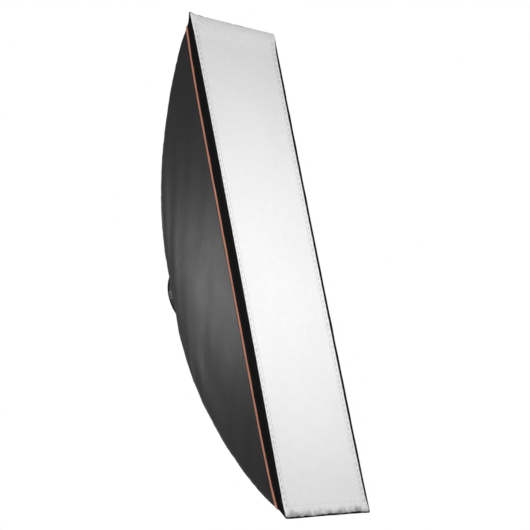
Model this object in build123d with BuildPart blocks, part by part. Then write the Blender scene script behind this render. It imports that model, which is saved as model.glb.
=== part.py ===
from build123d import *
import os
from math import cos, hypot, radians, sin, sqrt

# Strip softbox for a studio flash, standing upright, in millimetres.
# The diffuser faces -Y and the long side runs along Z. The origin is the centre of the bayonet
# bore, in the plane where the adapter plate meets the flash head.

# Cloth shell: four curved walls that meet along the corner seams
FACE_WIDTH = 300.0
FACE_HEIGHT = 1200.0
FRONT_Y = -295.0
REAR_Y = -18.0
REAR_HALF_X = 84.0
REAR_HALF_Z = 94.0
BOW = 0.3  # 1 would make the rods straight, 0 would start them square to the axis
OUTER_CLOTH = 0.8
LINING = 0.7
PIPING_WIDTH = 4.0
PIPING_PROUD = 1.5
LIP_DEPTH = 28.0
LIP = 2.0

# Front diffuser, held inside the lip by hook-and-loop tape
RECESS = 4.0
SHEET = 1.0
TAPE = 1.2
TAPE_GAP = 0.4
LOOP_TAPE_BACK = 22.0
HOOK_TAPE_BACK = 17.0

# Adapter that stays on the flash head
BORE_R = 48.0
COLLAR_R = 50.0
COLLAR_REAR_Y = 12.0
COLLAR_FLANGE_R = 62.0
COLLAR_FLANGE = 2.0
LUG_R = 54.0
LUG = 2.5
LUG_ANGLE = 28.0
LUG_COUNT = 3
PLATE_R = 72.0
PLATE = 2.5
RIVET_CIRCLE_R = 56.5
RIVET_COUNT = 6
RIVET_R = 1.6
RIVET_HEAD_R = 2.8
RIVET_HEAD = 1.0

# Speed ring that turns around the adapter plate
RING_R = 78.0
RING_BORE_R = 66.0
RING_REAR_Y = 0.3
RING_FRONT_Y = -20.0
SEAT_R = 72.3
SEAT_Y = -2.7
CLIP = 1.8
CLIP_INNER_R = 66.5
CLIP_OUTER_R = 77.5
CLIP_ANGLE = 18.0
CLIP_COUNT = 3
CLIP_SCREW_R = 1.2
CLIP_SCREW_HEAD_R = 2.1
CLIP_SCREW_DEPTH = 8.0

# Rotation lock under the ring: a thumb screw that presses a brake pad on the plate's rim
LOCK_Y = -5.0
BOSS_WIDTH = 16.0
BOSS_BOTTOM = 87.0
BOSS_FRONT_Y = -13.0
PAD_WIDTH = 9.4
PAD_TOP = 72.9
PAD_BOTTOM = 76.0
PAD_FRONT_Y = -8.7
PAD_REAR_Y = -0.9
PAD_CLEARANCE = 0.3
LOCK_SCREW_R = 2.9
LOCK_HOLE_R = 2.98
KNOB_TOP = 89.0
KNOB_LENGTH = 15.0
KNOB_R = 9.0
KNOB_FLUTES = 10
KNOB_FLUTE_R = 1.3

# Rods, each one bent in its own plane inside a corner seam
ROD_R = 2.0
ROD_ROOT = Vector(76.0, -30.0, 88.0)
ROD_BEND = Vector(107.0, -62.0, 324.0)
ROD_TIP = Vector(137.5, -267.0, 557.0)
ROD_IN_SOCKET = 20.0
SOCKET_R = 6.0
SOCKET_LENGTH = 26.0
SOCKET_BORE_R = 2.1
ARM = 5.0
ARM_ANGLE = 42.0
ARM_SCREW_SPREAD = 13.0
ARM_SCREW_CIRCLE_R = 72.0
ARM_SCREW_R = 1.95
ARM_SCREW_HEAD_R = 3.6
ARM_SCREW_HEAD = 1.6
ARM_SCREW_DEPTH = 12.0
CAP_R = 3.4
CAP_LENGTH = 10.0
CAP_END = 2.0
POCKET_R = 5.1
POCKET_LENGTH = 17.0
POCKET_END = 1.5
CLEARANCE = 0.1

# Inner baffle on elastic straps, and the cloth collar that closes the shell around the ring
BAFFLE_Y = -168.0
BAFFLE_HALF_X = 98.0
BAFFLE_HALF_Z = 345.0
HEM_WIDTH = 12.0
HEM = 3.0
STRAP_WIDTH = 10.0
STRAP = 1.2
STRAP_ROW = 320.0
TAB_LENGTH = 5.0
TAB_WIDTH = 16.0
COLLAR_CLOTH = 1.2
COLLAR_HALF_X = 82.5
COLLAR_HALF_Z = 93.5
ELASTIC = 2.2
ELASTIC_WIDTH = 4.0

DEPTH = REAR_Y - FRONT_Y
CLOTH = OUTER_CLOTH + LINING
SIDES = (REAR_HALF_X, FACE_WIDTH / 2)
ENDS = (REAR_HALF_Z, FACE_HEIGHT / 2)
CORNERS = {
    "top_left": (-1, 1),
    "top_right": (1, 1),
    "bottom_left": (-1, -1),
    "bottom_right": (1, -1),
}
WALLS = {
    "left": ("X", -1),
    "right": ("X", 1),
    "bottom": ("Z", -1),
    "top": ("Z", 1),
}
PROFILES = {
    "X": (Plane.XY, SIDES),
    "Z": (Plane(origin=(0, 0, 0), x_dir=(0, 0, 1), z_dir=(-1, 0, 0)), ENDS),
}


def at_y(y):
    """Sketch plane at depth y: local X and Y run along X and Z, and extrusions go to -Y."""
    return Plane.XZ.offset(-y)


def at_z(z):
    """Sketch plane at height z, with extrusions going up."""
    return Plane.XY.offset(z)


def station(y):
    """How far from the rear edge (0) to the front edge (1) the shell reaches depth y."""
    share = (REAR_Y - y) / DEPTH
    return (sqrt(BOW**2 + 4 * (1 - BOW) * share) - BOW) / (2 * (1 - BOW))


def inner_half(halves, inset, y):
    """Half width or height, inset mm inside the shell's outer face, at depth y."""
    rear, front = halves
    slope = (front - rear) / DEPTH / (BOW + 2 * (1 - BOW) * station(y))
    return rear + (front - rear) * station(y) - inset * hypot(1, slope)


def wall_curve(halves, inset):
    """Bezier poles (lateral, y) of a wall's profile, inset mm inside the shell's outer face."""
    rear, front = halves
    poles = [
        Vector(rear, REAR_Y),
        Vector((rear + front) / 2, REAR_Y - BOW / 2 * DEPTH),
        Vector(front, FRONT_Y),
    ]
    first = (poles[1] - poles[0]).normalized()
    last = (poles[2] - poles[1]).normalized()
    first_normal = Vector(first.Y, -first.X)
    last_normal = Vector(last.Y, -last.X)
    middle_normal = (first_normal + last_normal) / (1 + first_normal.dot(last_normal))
    normals = (first_normal, middle_normal, last_normal)
    return [pole + normal * inset for pole, normal in zip(poles, normals)]


def core(across, inset):
    """Everything between two opposite walls, inset mm inside their outer faces."""
    plane, halves = PROFILES[across]
    poles = wall_curve(halves, inset)
    back = Vector(poles[0].X, REAR_Y + LIP_DEPTH)
    with BuildPart() as block:
        with BuildSketch(plane):
            with BuildLine():
                Line((0, back.Y), back)
                Line(back, poles[0])
                Bezier(*poles)
                Line(poles[-1], (0, poles[-1].Y))
                mirror(about=Plane.YZ)
            make_face()
        extrude(amount=FACE_HEIGHT, both=True)
    return block.part


def wall(name, outer, inner, rear_y=REAR_Y, front_y=FRONT_Y):
    """A strip of one wall between two insets and two depths. The side walls run the full
    height, and the end walls fit between them."""
    across, sign = WALLS[name]
    plane, halves = PROFILES[across]
    near = [(sign * pole.X, pole.Y) for pole in wall_curve(halves, outer)]
    far = [(sign * pole.X, pole.Y) for pole in wall_curve(halves, inner)]
    neighbours = core("Z", outer) if across == "X" else core("X", inner)
    with BuildPart() as strip:
        with BuildSketch(plane):
            with BuildLine():
                Bezier(*near)
                Line(near[-1], far[-1])
                Bezier(*far)
                Line(far[0], near[0])
            make_face()
        extrude(amount=FACE_HEIGHT, both=True)
        add(neighbours, mode=Mode.INTERSECT)
        with BuildSketch(at_y(rear_y)):
            Rectangle(FACE_HEIGHT * 2, FACE_HEIGHT * 2)
        extrude(amount=rear_y - front_y, mode=Mode.INTERSECT)
    return strip


def wall_loop(outer, inner, rear_y, front_y):
    """A closed loop around all four walls between two insets and two depths."""
    with BuildPart() as loop:
        with BuildSketch(at_y(rear_y)):
            Rectangle(FACE_HEIGHT * 2, FACE_HEIGHT * 2)
        extrude(amount=rear_y - front_y)
        add(core("X", outer), mode=Mode.INTERSECT)
        add(core("Z", outer), mode=Mode.INTERSECT)
        add(core("X", inner) & core("Z", inner), mode=Mode.SUBTRACT)
    return loop


def sector(radius, angle, middle):
    """Corner points of a triangle that holds the sector of this angle about its middle angle."""
    reach = 2 * radius
    ends = [radians(middle - angle / 2), radians(middle + angle / 2)]
    return [(0, 0)] + [(reach * cos(a), reach * sin(a)) for a in ends]


def save(piece, name):
    """Labels a finished piece and writes its STEP file."""
    piece.part.label = name
    export_step(piece.part, f"parts/{name}.step")


os.makedirs("parts", exist_ok=True)

# ---- Adapter plate, bayonet collar and the rivets that join them ----

with BuildPart() as adapter_plate:
    with BuildSketch(at_y(0)):
        Circle(PLATE_R)
        Circle(COLLAR_R + CLEARANCE, mode=Mode.SUBTRACT)
        with PolarLocations(RIVET_CIRCLE_R, RIVET_COUNT):
            Circle(RIVET_R, mode=Mode.SUBTRACT)
    extrude(amount=PLATE)
adapter_plate.part.label = "adapter_plate"
export_step(adapter_plate.part, "parts/adapter_plate.step")

with BuildPart() as bayonet_collar:
    with BuildSketch(at_y(-PLATE)):
        Circle(COLLAR_FLANGE_R)
        with PolarLocations(RIVET_CIRCLE_R, RIVET_COUNT):
            Circle(RIVET_R, mode=Mode.SUBTRACT)
    extrude(amount=COLLAR_FLANGE)
    with BuildSketch(at_y(COLLAR_REAR_Y)):
        Circle(COLLAR_R)
    extrude(amount=COLLAR_REAR_Y + PLATE)
    for lug in range(LUG_COUNT):
        with BuildSketch(at_y(COLLAR_REAR_Y)):
            Circle(LUG_R)
            Polygon(*sector(LUG_R, LUG_ANGLE, 90 + lug * 360 / LUG_COUNT), align=None, mode=Mode.INTERSECT)
        extrude(amount=LUG)
    with BuildSketch(at_y(COLLAR_REAR_Y)):
        Circle(BORE_R)
    extrude(amount=COLLAR_REAR_Y + PLATE + COLLAR_FLANGE, mode=Mode.SUBTRACT)
save(bayonet_collar, "bayonet_collar")

with BuildPart() as adapter_rivets:
    with BuildSketch(at_y(RIVET_HEAD)):
        with PolarLocations(RIVET_CIRCLE_R, RIVET_COUNT):
            Circle(RIVET_HEAD_R)
    extrude(amount=RIVET_HEAD)
    with BuildSketch(at_y(0)):
        with PolarLocations(RIVET_CIRCLE_R, RIVET_COUNT):
            Circle(RIVET_R)
    extrude(amount=PLATE + COLLAR_FLANGE)
    with BuildSketch(at_y(-PLATE - COLLAR_FLANGE)):
        with PolarLocations(RIVET_CIRCLE_R, RIVET_COUNT):
            Circle(RIVET_HEAD_R)
    extrude(amount=RIVET_HEAD)
save(adapter_rivets, "adapter_rivets")

# ---- Speed ring, its retaining clips and their screws ----

RING_DEPTH = RING_REAR_Y - RING_FRONT_Y
CLIP_SCREW_CIRCLE_R = (SEAT_R + RING_R) / 2
CLIP_ANGLES = [90 + k * 360 / CLIP_COUNT for k in range(CLIP_COUNT)]
CLIP_HOLES = [
    (CLIP_SCREW_CIRCLE_R * cos(radians(a + turn)), CLIP_SCREW_CIRCLE_R * sin(radians(a + turn)))
    for a in CLIP_ANGLES
    for turn in (-CLIP_ANGLE / 4, CLIP_ANGLE / 4)
]
ARM_ANGLES = [ARM_ANGLE, 180 - ARM_ANGLE, 180 + ARM_ANGLE, 360 - ARM_ANGLE]
ARM_HOLES = [
    (ARM_SCREW_CIRCLE_R * cos(radians(a + turn)), ARM_SCREW_CIRCLE_R * sin(radians(a + turn)))
    for a in ARM_ANGLES
    for turn in (-ARM_SCREW_SPREAD / 2, ARM_SCREW_SPREAD / 2)
]

with BuildPart() as speed_ring:
    with BuildSketch(at_y(RING_REAR_Y)):
        Circle(RING_R)
    extrude(amount=RING_DEPTH)
    chamfer(speed_ring.edges().group_by(Axis.Y)[0], length=1.5)
    with BuildSketch(at_y(RING_REAR_Y)):
        with Locations((0, -(BOSS_BOTTOM + RING_BORE_R) / 2)):
            Rectangle(BOSS_WIDTH, BOSS_BOTTOM - RING_BORE_R)
    extrude(amount=RING_REAR_Y - BOSS_FRONT_Y)
    with BuildSketch(at_y(RING_REAR_Y)):
        Circle(SEAT_R)
    extrude(amount=RING_REAR_Y - SEAT_Y, mode=Mode.SUBTRACT)
    with BuildSketch(at_y(RING_REAR_Y)):
        Circle(RING_BORE_R)
    extrude(amount=RING_DEPTH, mode=Mode.SUBTRACT)
    with BuildSketch(at_y(RING_REAR_Y)):
        with Locations((0, -(PAD_BOTTOM + PAD_CLEARANCE + RING_BORE_R) / 2)):
            Rectangle(PAD_WIDTH + 2 * PAD_CLEARANCE, PAD_BOTTOM + PAD_CLEARANCE - RING_BORE_R)
    extrude(amount=RING_REAR_Y - PAD_FRONT_Y + PAD_CLEARANCE, mode=Mode.SUBTRACT)
    with BuildSketch(at_z(-BOSS_BOTTOM)):
        with Locations((0, LOCK_Y)):
            Circle(LOCK_HOLE_R)
    extrude(amount=BOSS_BOTTOM - PAD_BOTTOM, mode=Mode.SUBTRACT)
    with BuildSketch(at_y(RING_REAR_Y)):
        with Locations(*CLIP_HOLES):
            Circle(CLIP_SCREW_R)
    extrude(amount=CLIP_SCREW_DEPTH, mode=Mode.SUBTRACT)
    with BuildSketch(at_y(RING_FRONT_Y)):
        with Locations(*ARM_HOLES):
            Circle(ARM_SCREW_R)
    extrude(amount=-ARM_SCREW_DEPTH, mode=Mode.SUBTRACT)
save(speed_ring, "speed_ring")

with BuildPart() as retaining_clips:
    for angle in CLIP_ANGLES:
        with BuildSketch(at_y(RING_REAR_Y + CLIP)):
            Circle(CLIP_OUTER_R)
            Circle(CLIP_INNER_R, mode=Mode.SUBTRACT)
            Polygon(*sector(CLIP_OUTER_R, CLIP_ANGLE, angle), align=None, mode=Mode.INTERSECT)
            with Locations(*CLIP_HOLES):
                Circle(CLIP_SCREW_R, mode=Mode.SUBTRACT)
        extrude(amount=CLIP)
save(retaining_clips, "retaining_clips")

with BuildPart() as clip_screws:
    with BuildSketch(at_y(RING_REAR_Y + 2 * CLIP)):
        with Locations(*CLIP_HOLES):
            Circle(CLIP_SCREW_HEAD_R)
    extrude(amount=CLIP)
    with BuildSketch(at_y(RING_REAR_Y + CLIP)):
        with Locations(*CLIP_HOLES):
            Circle(CLIP_SCREW_R)
    extrude(amount=CLIP + CLIP_SCREW_DEPTH)
    with BuildSketch(at_y(RING_REAR_Y + 2 * CLIP)):
        with Locations(*CLIP_HOLES):
            RegularPolygon(CLIP_SCREW_HEAD_R / 2, 6)
    extrude(amount=CLIP / 2, mode=Mode.SUBTRACT)
save(clip_screws, "clip_screws")

# ---- Rotation lock: brake pad, screw and fluted knob ----

with BuildPart() as brake_pad:
    with BuildSketch(at_z(-PAD_BOTTOM)):
        with Locations((0, (PAD_FRONT_Y + PAD_REAR_Y) / 2)):
            RectangleRounded(PAD_WIDTH, PAD_REAR_Y - PAD_FRONT_Y, 1)
    extrude(amount=PAD_BOTTOM - PAD_TOP)
save(brake_pad, "brake_pad")

with BuildPart() as lock_screw:
    with BuildSketch(at_z(-KNOB_TOP - KNOB_LENGTH + KNOB_FLUTE_R)):
        with Locations((0, LOCK_Y)):
            Circle(LOCK_SCREW_R)
    extrude(amount=KNOB_TOP + KNOB_LENGTH - KNOB_FLUTE_R - PAD_BOTTOM - CLEARANCE)
    chamfer(lock_screw.edges().group_by(Axis.Z)[-1], length=0.6)
save(lock_screw, "lock_screw")

with BuildPart() as lock_knob:
    with BuildSketch(at_z(-KNOB_TOP - KNOB_LENGTH)):
        with Locations((0, LOCK_Y)):
            Circle(KNOB_R)
            with PolarLocations(KNOB_R + KNOB_FLUTE_R / 2, KNOB_FLUTES):
                Circle(KNOB_FLUTE_R, mode=Mode.SUBTRACT)
    extrude(amount=KNOB_LENGTH)
    chamfer(lock_knob.edges().group_by(Axis.Z)[0], length=0.6)
    with BuildSketch(at_z(-KNOB_TOP)):
        with Locations((0, LOCK_Y)):
            Circle(LOCK_SCREW_R)
    extrude(amount=KNOB_FLUTE_R - KNOB_LENGTH, mode=Mode.SUBTRACT)
save(lock_knob, "lock_knob")

# ---- Rods, with their sockets on the ring, end caps and corner pockets ----


def in_corner(point, corner):
    """The same point in another corner of the box."""
    sign_x, sign_z = CORNERS[corner]
    return Vector(sign_x * point.X, point.Y, sign_z * point.Z)


for corner in CORNERS:
    sign_x, sign_z = CORNERS[corner]
    root = in_corner(ROD_ROOT, corner)
    bend = in_corner(ROD_BEND, corner)
    tip = in_corner(ROD_TIP, corner)
    root_way = (bend - root).normalized()
    tip_way = (tip - bend).normalized()
    arm_angle = radians(ARM_ANGLE)
    socket_middle = root - root_way * (SOCKET_LENGTH / 2)
    screws = [
        Vector(sign_x * cos(arm_angle + turn), sign_z * sin(arm_angle + turn)) * ARM_SCREW_CIRCLE_R
        for turn in (-radians(ARM_SCREW_SPREAD / 2), radians(ARM_SCREW_SPREAD / 2))
    ]

    with BuildPart() as rod_socket:
        with BuildSketch(at_y(RING_FRONT_Y)):
            with BuildLine():
                Polyline(*screws, (socket_middle.X, socket_middle.Z), close=True)
            make_face()
            offset(amount=SOCKET_R - CLEARANCE)
            with Locations(*screws):
                Circle(ARM_SCREW_R, mode=Mode.SUBTRACT)
        extrude(amount=ARM)
        with BuildSketch(Plane(origin=root, z_dir=-root_way)):
            Circle(SOCKET_R)
        extrude(amount=SOCKET_LENGTH)
        with BuildSketch(Plane(origin=root, z_dir=-root_way)):
            Circle(SOCKET_BORE_R)
        extrude(amount=ROD_IN_SOCKET + CLEARANCE, mode=Mode.SUBTRACT)
        with BuildSketch(at_y(RING_FRONT_Y)):
            Rectangle(FACE_WIDTH, FACE_WIDTH)
        extrude(amount=-RING_DEPTH, mode=Mode.SUBTRACT)
    save(rod_socket, f"rod_socket_{corner}")

    with BuildPart() as rod:
        with BuildLine() as rod_line:
            Line(root - root_way * ROD_IN_SOCKET, root)
            Bezier(root, bend, tip)
        with BuildSketch(Plane(origin=rod_line.line @ 0, z_dir=root_way)):
            Circle(ROD_R)
        sweep()
    save(rod, f"rod_{corner}")

    with BuildPart() as corner_pocket:
        with BuildSketch(Plane(origin=tip + tip_way * (CAP_END + POCKET_END), z_dir=-tip_way)):
            Circle(POCKET_R)
        extrude(amount=POCKET_LENGTH)
        with BuildSketch(Plane(origin=tip + tip_way * CAP_END, z_dir=-tip_way)):
            Circle(CAP_R + CLEARANCE)
        extrude(amount=POCKET_LENGTH, mode=Mode.SUBTRACT)
    save(corner_pocket, f"corner_pocket_{corner}")

with BuildPart() as rod_caps:
    for corner in CORNERS:
        tip = in_corner(ROD_TIP, corner)
        tip_way = (tip - in_corner(ROD_BEND, corner)).normalized()
        with BuildSketch(Plane(origin=tip + tip_way * (CAP_END - CLEARANCE), z_dir=-tip_way)):
            Circle(CAP_R)
        extrude(amount=CAP_LENGTH)
        with BuildSketch(Plane(origin=tip + tip_way * CLEARANCE, z_dir=-tip_way)):
            Circle(ROD_R + CLEARANCE)
        extrude(amount=CAP_LENGTH, mode=Mode.SUBTRACT)
save(rod_caps, "rod_caps")

with BuildPart() as socket_screws:
    with BuildSketch(at_y(RING_FRONT_Y - ARM)):
        with Locations(*ARM_HOLES):
            Circle(ARM_SCREW_HEAD_R)
    extrude(amount=ARM_SCREW_HEAD)
    with BuildSketch(at_y(RING_FRONT_Y - ARM)):
        with Locations(*ARM_HOLES):
            Circle(ARM_SCREW_R)
    extrude(amount=-ARM - ARM_SCREW_DEPTH)
save(socket_screws, "socket_screws")

# ---- Cloth shell: black panels with their silver lining, orange piping and black front lip ----

PIPING_REAR_Y = FRONT_Y + LIP_DEPTH + PIPING_WIDTH / 2
PIPING_FRONT_Y = FRONT_Y + LIP_DEPTH - PIPING_WIDTH / 2

for side in WALLS:
    save(wall(side, 0, OUTER_CLOTH, front_y=PIPING_REAR_Y), f"panel_{side}")
    save(wall(side, OUTER_CLOTH, CLOTH, front_y=PIPING_REAR_Y), f"lining_{side}")
    save(wall(side, 0, LIP, rear_y=PIPING_FRONT_Y), f"lip_{side}")

save(wall_loop(-PIPING_PROUD, CLOTH, PIPING_REAR_Y, PIPING_FRONT_Y), "piping")

# ---- Front diffuser and its hook-and-loop fastening ----

FACE_Y = FRONT_Y + RECESS
HEM_FRONT_Y = FACE_Y + SHEET
LOOP_REAR_Y = FRONT_Y + LOOP_TAPE_BACK
HOOK_REAR_Y = FRONT_Y + HOOK_TAPE_BACK
HOOK_OUTER = LIP + TAPE + TAPE_GAP
HEM_OUTER = HOOK_OUTER + TAPE

save(wall_loop(LIP, LIP + TAPE, LOOP_REAR_Y, FACE_Y), "loop_tape")
save(wall_loop(HOOK_OUTER, HEM_OUTER, HOOK_REAR_Y, HEM_FRONT_Y), "hook_tape")
save(wall_loop(HEM_OUTER, HEM_OUTER + SHEET, HOOK_REAR_Y, HEM_FRONT_Y), "diffuser_hem")

with BuildPart() as diffuser_face:
    with BuildSketch(at_y(HEM_FRONT_Y)):
        Rectangle(
            2 * inner_half(SIDES, HOOK_OUTER, HEM_FRONT_Y),
            2 * inner_half(ENDS, HOOK_OUTER, HEM_FRONT_Y),
        )
    extrude(amount=SHEET)
save(diffuser_face, "diffuser_face")

# ---- Inner baffle, its hem, elastic straps and the tabs that hold them on the walls ----

with BuildPart() as baffle_sheet:
    with BuildSketch(at_y(BAFFLE_Y)):
        Rectangle(2 * (BAFFLE_HALF_X - HEM_WIDTH), 2 * (BAFFLE_HALF_Z - HEM_WIDTH))
    extrude(amount=SHEET)
save(baffle_sheet, "baffle_sheet")

with BuildPart() as baffle_hem:
    with BuildSketch(at_y(BAFFLE_Y + (HEM - SHEET) / 2)):
        Rectangle(2 * BAFFLE_HALF_X, 2 * BAFFLE_HALF_Z)
        Rectangle(2 * (BAFFLE_HALF_X - HEM_WIDTH), 2 * (BAFFLE_HALF_Z - HEM_WIDTH), mode=Mode.SUBTRACT)
    extrude(amount=HEM)
save(baffle_hem, "baffle_hem")

TAB_REAR_Y = BAFFLE_Y + 2
TAB_END_X = inner_half(SIDES, CLOTH, TAB_REAR_Y) - CLEARANCE
TAB_END_Z = inner_half(ENDS, CLOTH, TAB_REAR_Y) - CLEARANCE
STRAP_HEIGHTS = (-STRAP_ROW, 0, STRAP_ROW)

with BuildPart() as baffle_straps:
    strap_x = TAB_END_X - TAB_LENGTH - BAFFLE_HALF_X
    strap_z = TAB_END_Z - TAB_LENGTH - BAFFLE_HALF_Z
    with BuildSketch(at_y(BAFFLE_Y + (STRAP - SHEET) / 2)):
        for sign in (-1, 1):
            with Locations(*[(sign * (BAFFLE_HALF_X + strap_x / 2), z) for z in STRAP_HEIGHTS]):
                Rectangle(strap_x, STRAP_WIDTH)
            with Locations((0, sign * (BAFFLE_HALF_Z + strap_z / 2))):
                Rectangle(STRAP_WIDTH, strap_z)
    extrude(amount=STRAP)
save(baffle_straps, "baffle_straps")

with BuildPart() as strap_tabs:
    with BuildSketch(at_y(TAB_REAR_Y)):
        for sign in (-1, 1):
            with Locations(*[(sign * (TAB_END_X - TAB_LENGTH / 2), z) for z in STRAP_HEIGHTS]):
                Rectangle(TAB_LENGTH, TAB_WIDTH)
            with Locations((0, sign * (TAB_END_Z - TAB_LENGTH / 2))):
                Rectangle(TAB_WIDTH, TAB_LENGTH)
    extrude(amount=TAB_LENGTH)
save(strap_tabs, "strap_tabs")

# ---- Rear collar of the shell and the elastic that grips the ring ----

with BuildPart() as rear_collar:
    with BuildSketch(at_y(REAR_Y)):
        Rectangle(2 * COLLAR_HALF_X, 2 * COLLAR_HALF_Z)
        Circle(RING_R + CLEARANCE, mode=Mode.SUBTRACT)
    extrude(amount=COLLAR_CLOTH)
save(rear_collar, "rear_collar")

with BuildPart() as collar_elastic:
    with BuildSketch(at_y(REAR_Y + ELASTIC_WIDTH)):
        Circle(RING_R + CLEARANCE + ELASTIC)
        Circle(RING_R + CLEARANCE, mode=Mode.SUBTRACT)
    extrude(amount=ELASTIC_WIDTH)
save(collar_elastic, "collar_elastic")
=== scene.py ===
"""Strip softbox: cloth shell, lip, diffuser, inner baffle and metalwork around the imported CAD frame."""

from math import cos, pi, radians, sin, sqrt

import bpy
import numpy as np
from mathutils import Matrix, Vector


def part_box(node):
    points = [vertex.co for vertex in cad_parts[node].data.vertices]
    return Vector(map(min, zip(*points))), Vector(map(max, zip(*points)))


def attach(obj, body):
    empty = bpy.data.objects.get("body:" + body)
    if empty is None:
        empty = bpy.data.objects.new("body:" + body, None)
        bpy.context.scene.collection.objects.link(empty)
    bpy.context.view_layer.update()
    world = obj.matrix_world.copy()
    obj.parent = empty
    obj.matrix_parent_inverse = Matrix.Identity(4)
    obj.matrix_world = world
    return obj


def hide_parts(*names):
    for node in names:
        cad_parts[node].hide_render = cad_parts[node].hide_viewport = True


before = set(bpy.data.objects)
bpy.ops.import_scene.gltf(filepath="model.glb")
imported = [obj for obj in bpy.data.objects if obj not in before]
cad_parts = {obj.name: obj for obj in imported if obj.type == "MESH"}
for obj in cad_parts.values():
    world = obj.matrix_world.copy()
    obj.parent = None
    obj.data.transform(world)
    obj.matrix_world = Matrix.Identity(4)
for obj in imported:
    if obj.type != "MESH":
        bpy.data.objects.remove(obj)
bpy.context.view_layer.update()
MM = 0.001

# ---- Driving sizes, read from the frame ----

LIP_LOW, LIP_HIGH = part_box("lip_right")
PANEL_LOW, PANEL_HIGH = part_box("panel_right")
LOOP_LOW, LOOP_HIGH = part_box("loop_tape")
HOOK_LOW, HOOK_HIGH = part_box("hook_tape")
SHEET_LOW, SHEET_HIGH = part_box("baffle_sheet")
FACE_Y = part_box("diffuser_face")[0].y
CUFF_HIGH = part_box("rear_collar")[1]
BAFFLE_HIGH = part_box("baffle_hem")[1]
STRAP_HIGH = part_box("baffle_straps")[1]
RING_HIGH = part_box("speed_ring")[1]

FRONT_Y = LIP_LOW.y
LIP_REAR_Y = LIP_HIGH.y
SHELL_FRONT_Y = PANEL_LOW.y
REAR_Y = PANEL_HIGH.y
DEPTH = REAR_Y - FRONT_Y
HALF_X = LIP_HIGH.x
HALF_Z = LIP_HIGH.z
REAR_HALF_X = CUFF_HIGH.x + 1.5 * MM  # the shell's rear opening, just outside the collar
REAR_HALF_Z = CUFF_HIGH.z + 0.5 * MM
RING_R = RING_HIGH.x
BOW = 0.3  # how straight the rods are: 1 is a straight line, 0 a parabola
SIDES = (REAR_HALF_X, HALF_X)
ENDS = (REAR_HALF_Z, HALF_Z)
WALLS = ("right", "top", "left", "bottom")
UPRIGHT = ("right", "left")
CORNERS = {"top_right": (1, 1), "top_left": (-1, 1), "bottom_left": (-1, -1), "bottom_right": (1, -1)}

CLOTH = 0.8 * MM
LINING = 0.6 * MM
LIP = 2.0 * MM
GLUE = 0.2 * MM  # between a wall and its lining
CORNER_R = 5 * MM
LEAST_R = 1 * MM
EDGE_PULL = 2.4 * MM  # how far the long edges are drawn in at mid height
END_PULL = 1.0 * MM
LEAN_X = 4.0 * MM  # how far the lip leans in at its front edge
LEAN_TOP = 3.5 * MM
LEAN_BOTTOM = 1.0 * MM
HELD_CORNER = 0.4  # how much of the lean the rod's tip takes out of the upper left corner
CORNER_DROOP = 2.5 * MM  # how far the lower left corner's front edge is drawn up
ROD_PUSH = 3.0 * MM  # how far the rods' tips push the left corners out
SEAM_RISE = 14.0 * MM  # how far the piping runs forward towards the ends
SEAM_FADE = 60 * MM
CORNER_POWER = 10  # how closely a pull keeps to its corner


# ---- Shape of the shell ----


def station(y):
    """How far from the rear edge (0) to the front edge (1) the shell reaches depth y."""
    share = (REAR_Y - np.asarray(y, float)) / DEPTH
    return (np.sqrt(BOW**2 + 4 * (1 - BOW) * share) - BOW) / (2 * (1 - BOW))


def depth_at(s):
    """Depth y of the shell at station s."""
    return REAR_Y - DEPTH * (BOW * s + (1 - BOW) * s**2)


def half_at(halves, s, inset):
    """Half width or height of the shell at station s, inset inside its outer face."""
    rear, front = halves
    slope = (front - rear) / DEPTH / (BOW + 2 * (1 - BOW) * s)
    return rear + (front - rear) * s - inset * np.hypot(1, slope)


def halves_at(s, inset):
    """Half width and half height of the shell at station s, as plain numbers."""
    return float(half_at(SIDES, s, inset)), float(half_at(ENDS, s, inset))


def pulled(points):
    """The same points after the diffuser's tension has drawn the front edges in a little."""
    x, y, z = points[..., 0], points[..., 1], points[..., 2]
    front = np.clip((REAR_Y - y) / DEPTH, 0, 1) ** 3
    along = 1 - np.clip(z / HALF_Z, -1, 1) ** 2
    across = 1 - np.clip(x / HALF_X, -1, 1) ** 2
    lip_share = (y - FRONT_Y) / (LIP_REAR_Y - FRONT_Y)
    leftward = np.clip(-x / HALF_X, 0, 1)
    upper, lower = ((leftward * np.clip(sign * z / HALF_Z, 0, 1)) ** CORNER_POWER for sign in (1, -1))
    lean = np.clip(1 - lip_share, 0, 1) * (1 - HELD_CORNER * upper)
    lean_z = np.where(z > 0, LEAN_TOP, LEAN_BOTTOM + CORNER_DROOP * lower)
    push = ROD_PUSH * front * (upper + lower * np.clip(lip_share, 0, 1))
    near_seam = np.clip(1 - (y - LIP_REAR_Y) / SEAM_FADE, 0, 1) ** 2 * np.clip(lip_share, 0, 1)
    rise = SEAM_RISE * np.clip(np.abs(z) / HALF_Z, 0, 1) ** 6 * near_seam
    return np.stack(
        [
            x * (1 - (EDGE_PULL * front * along + LEAN_X * lean - push) / HALF_X),
            y - rise,
            z * (1 - (END_PULL * front * across + lean_z * lean - push) / HALF_Z),
        ],
        axis=-1,
    )


def wall_line(wall, half_x, half_z, radius, n_run, n_arc):
    """Points (x, z) of one wall's cross-section, from the middle of one corner to the next."""
    arc = np.linspace(pi / 4, 0, n_arc, endpoint=False)
    run, off = (half_z, half_x) if wall in UPRIGHT else (half_x, half_z)
    run, off = run - radius, off - radius
    spread = np.sin(np.linspace(-pi / 2, pi / 2, n_run)) * 0.6 + np.linspace(-1, 1, n_run) * 0.4
    start = np.stack([off + radius * np.cos(arc), -run - radius * np.sin(arc)], 1)
    middle = np.stack([np.full(n_run, off + radius), run * spread], 1)
    end = np.stack([off + radius * np.cos(arc[::-1]), run + radius * np.sin(arc[::-1])], 1)
    line = np.concatenate([start, middle, end])
    for _ in range(WALLS.index(wall)):
        line = np.stack([-line[:, 1], line[:, 0]], 1)
    return line


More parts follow.
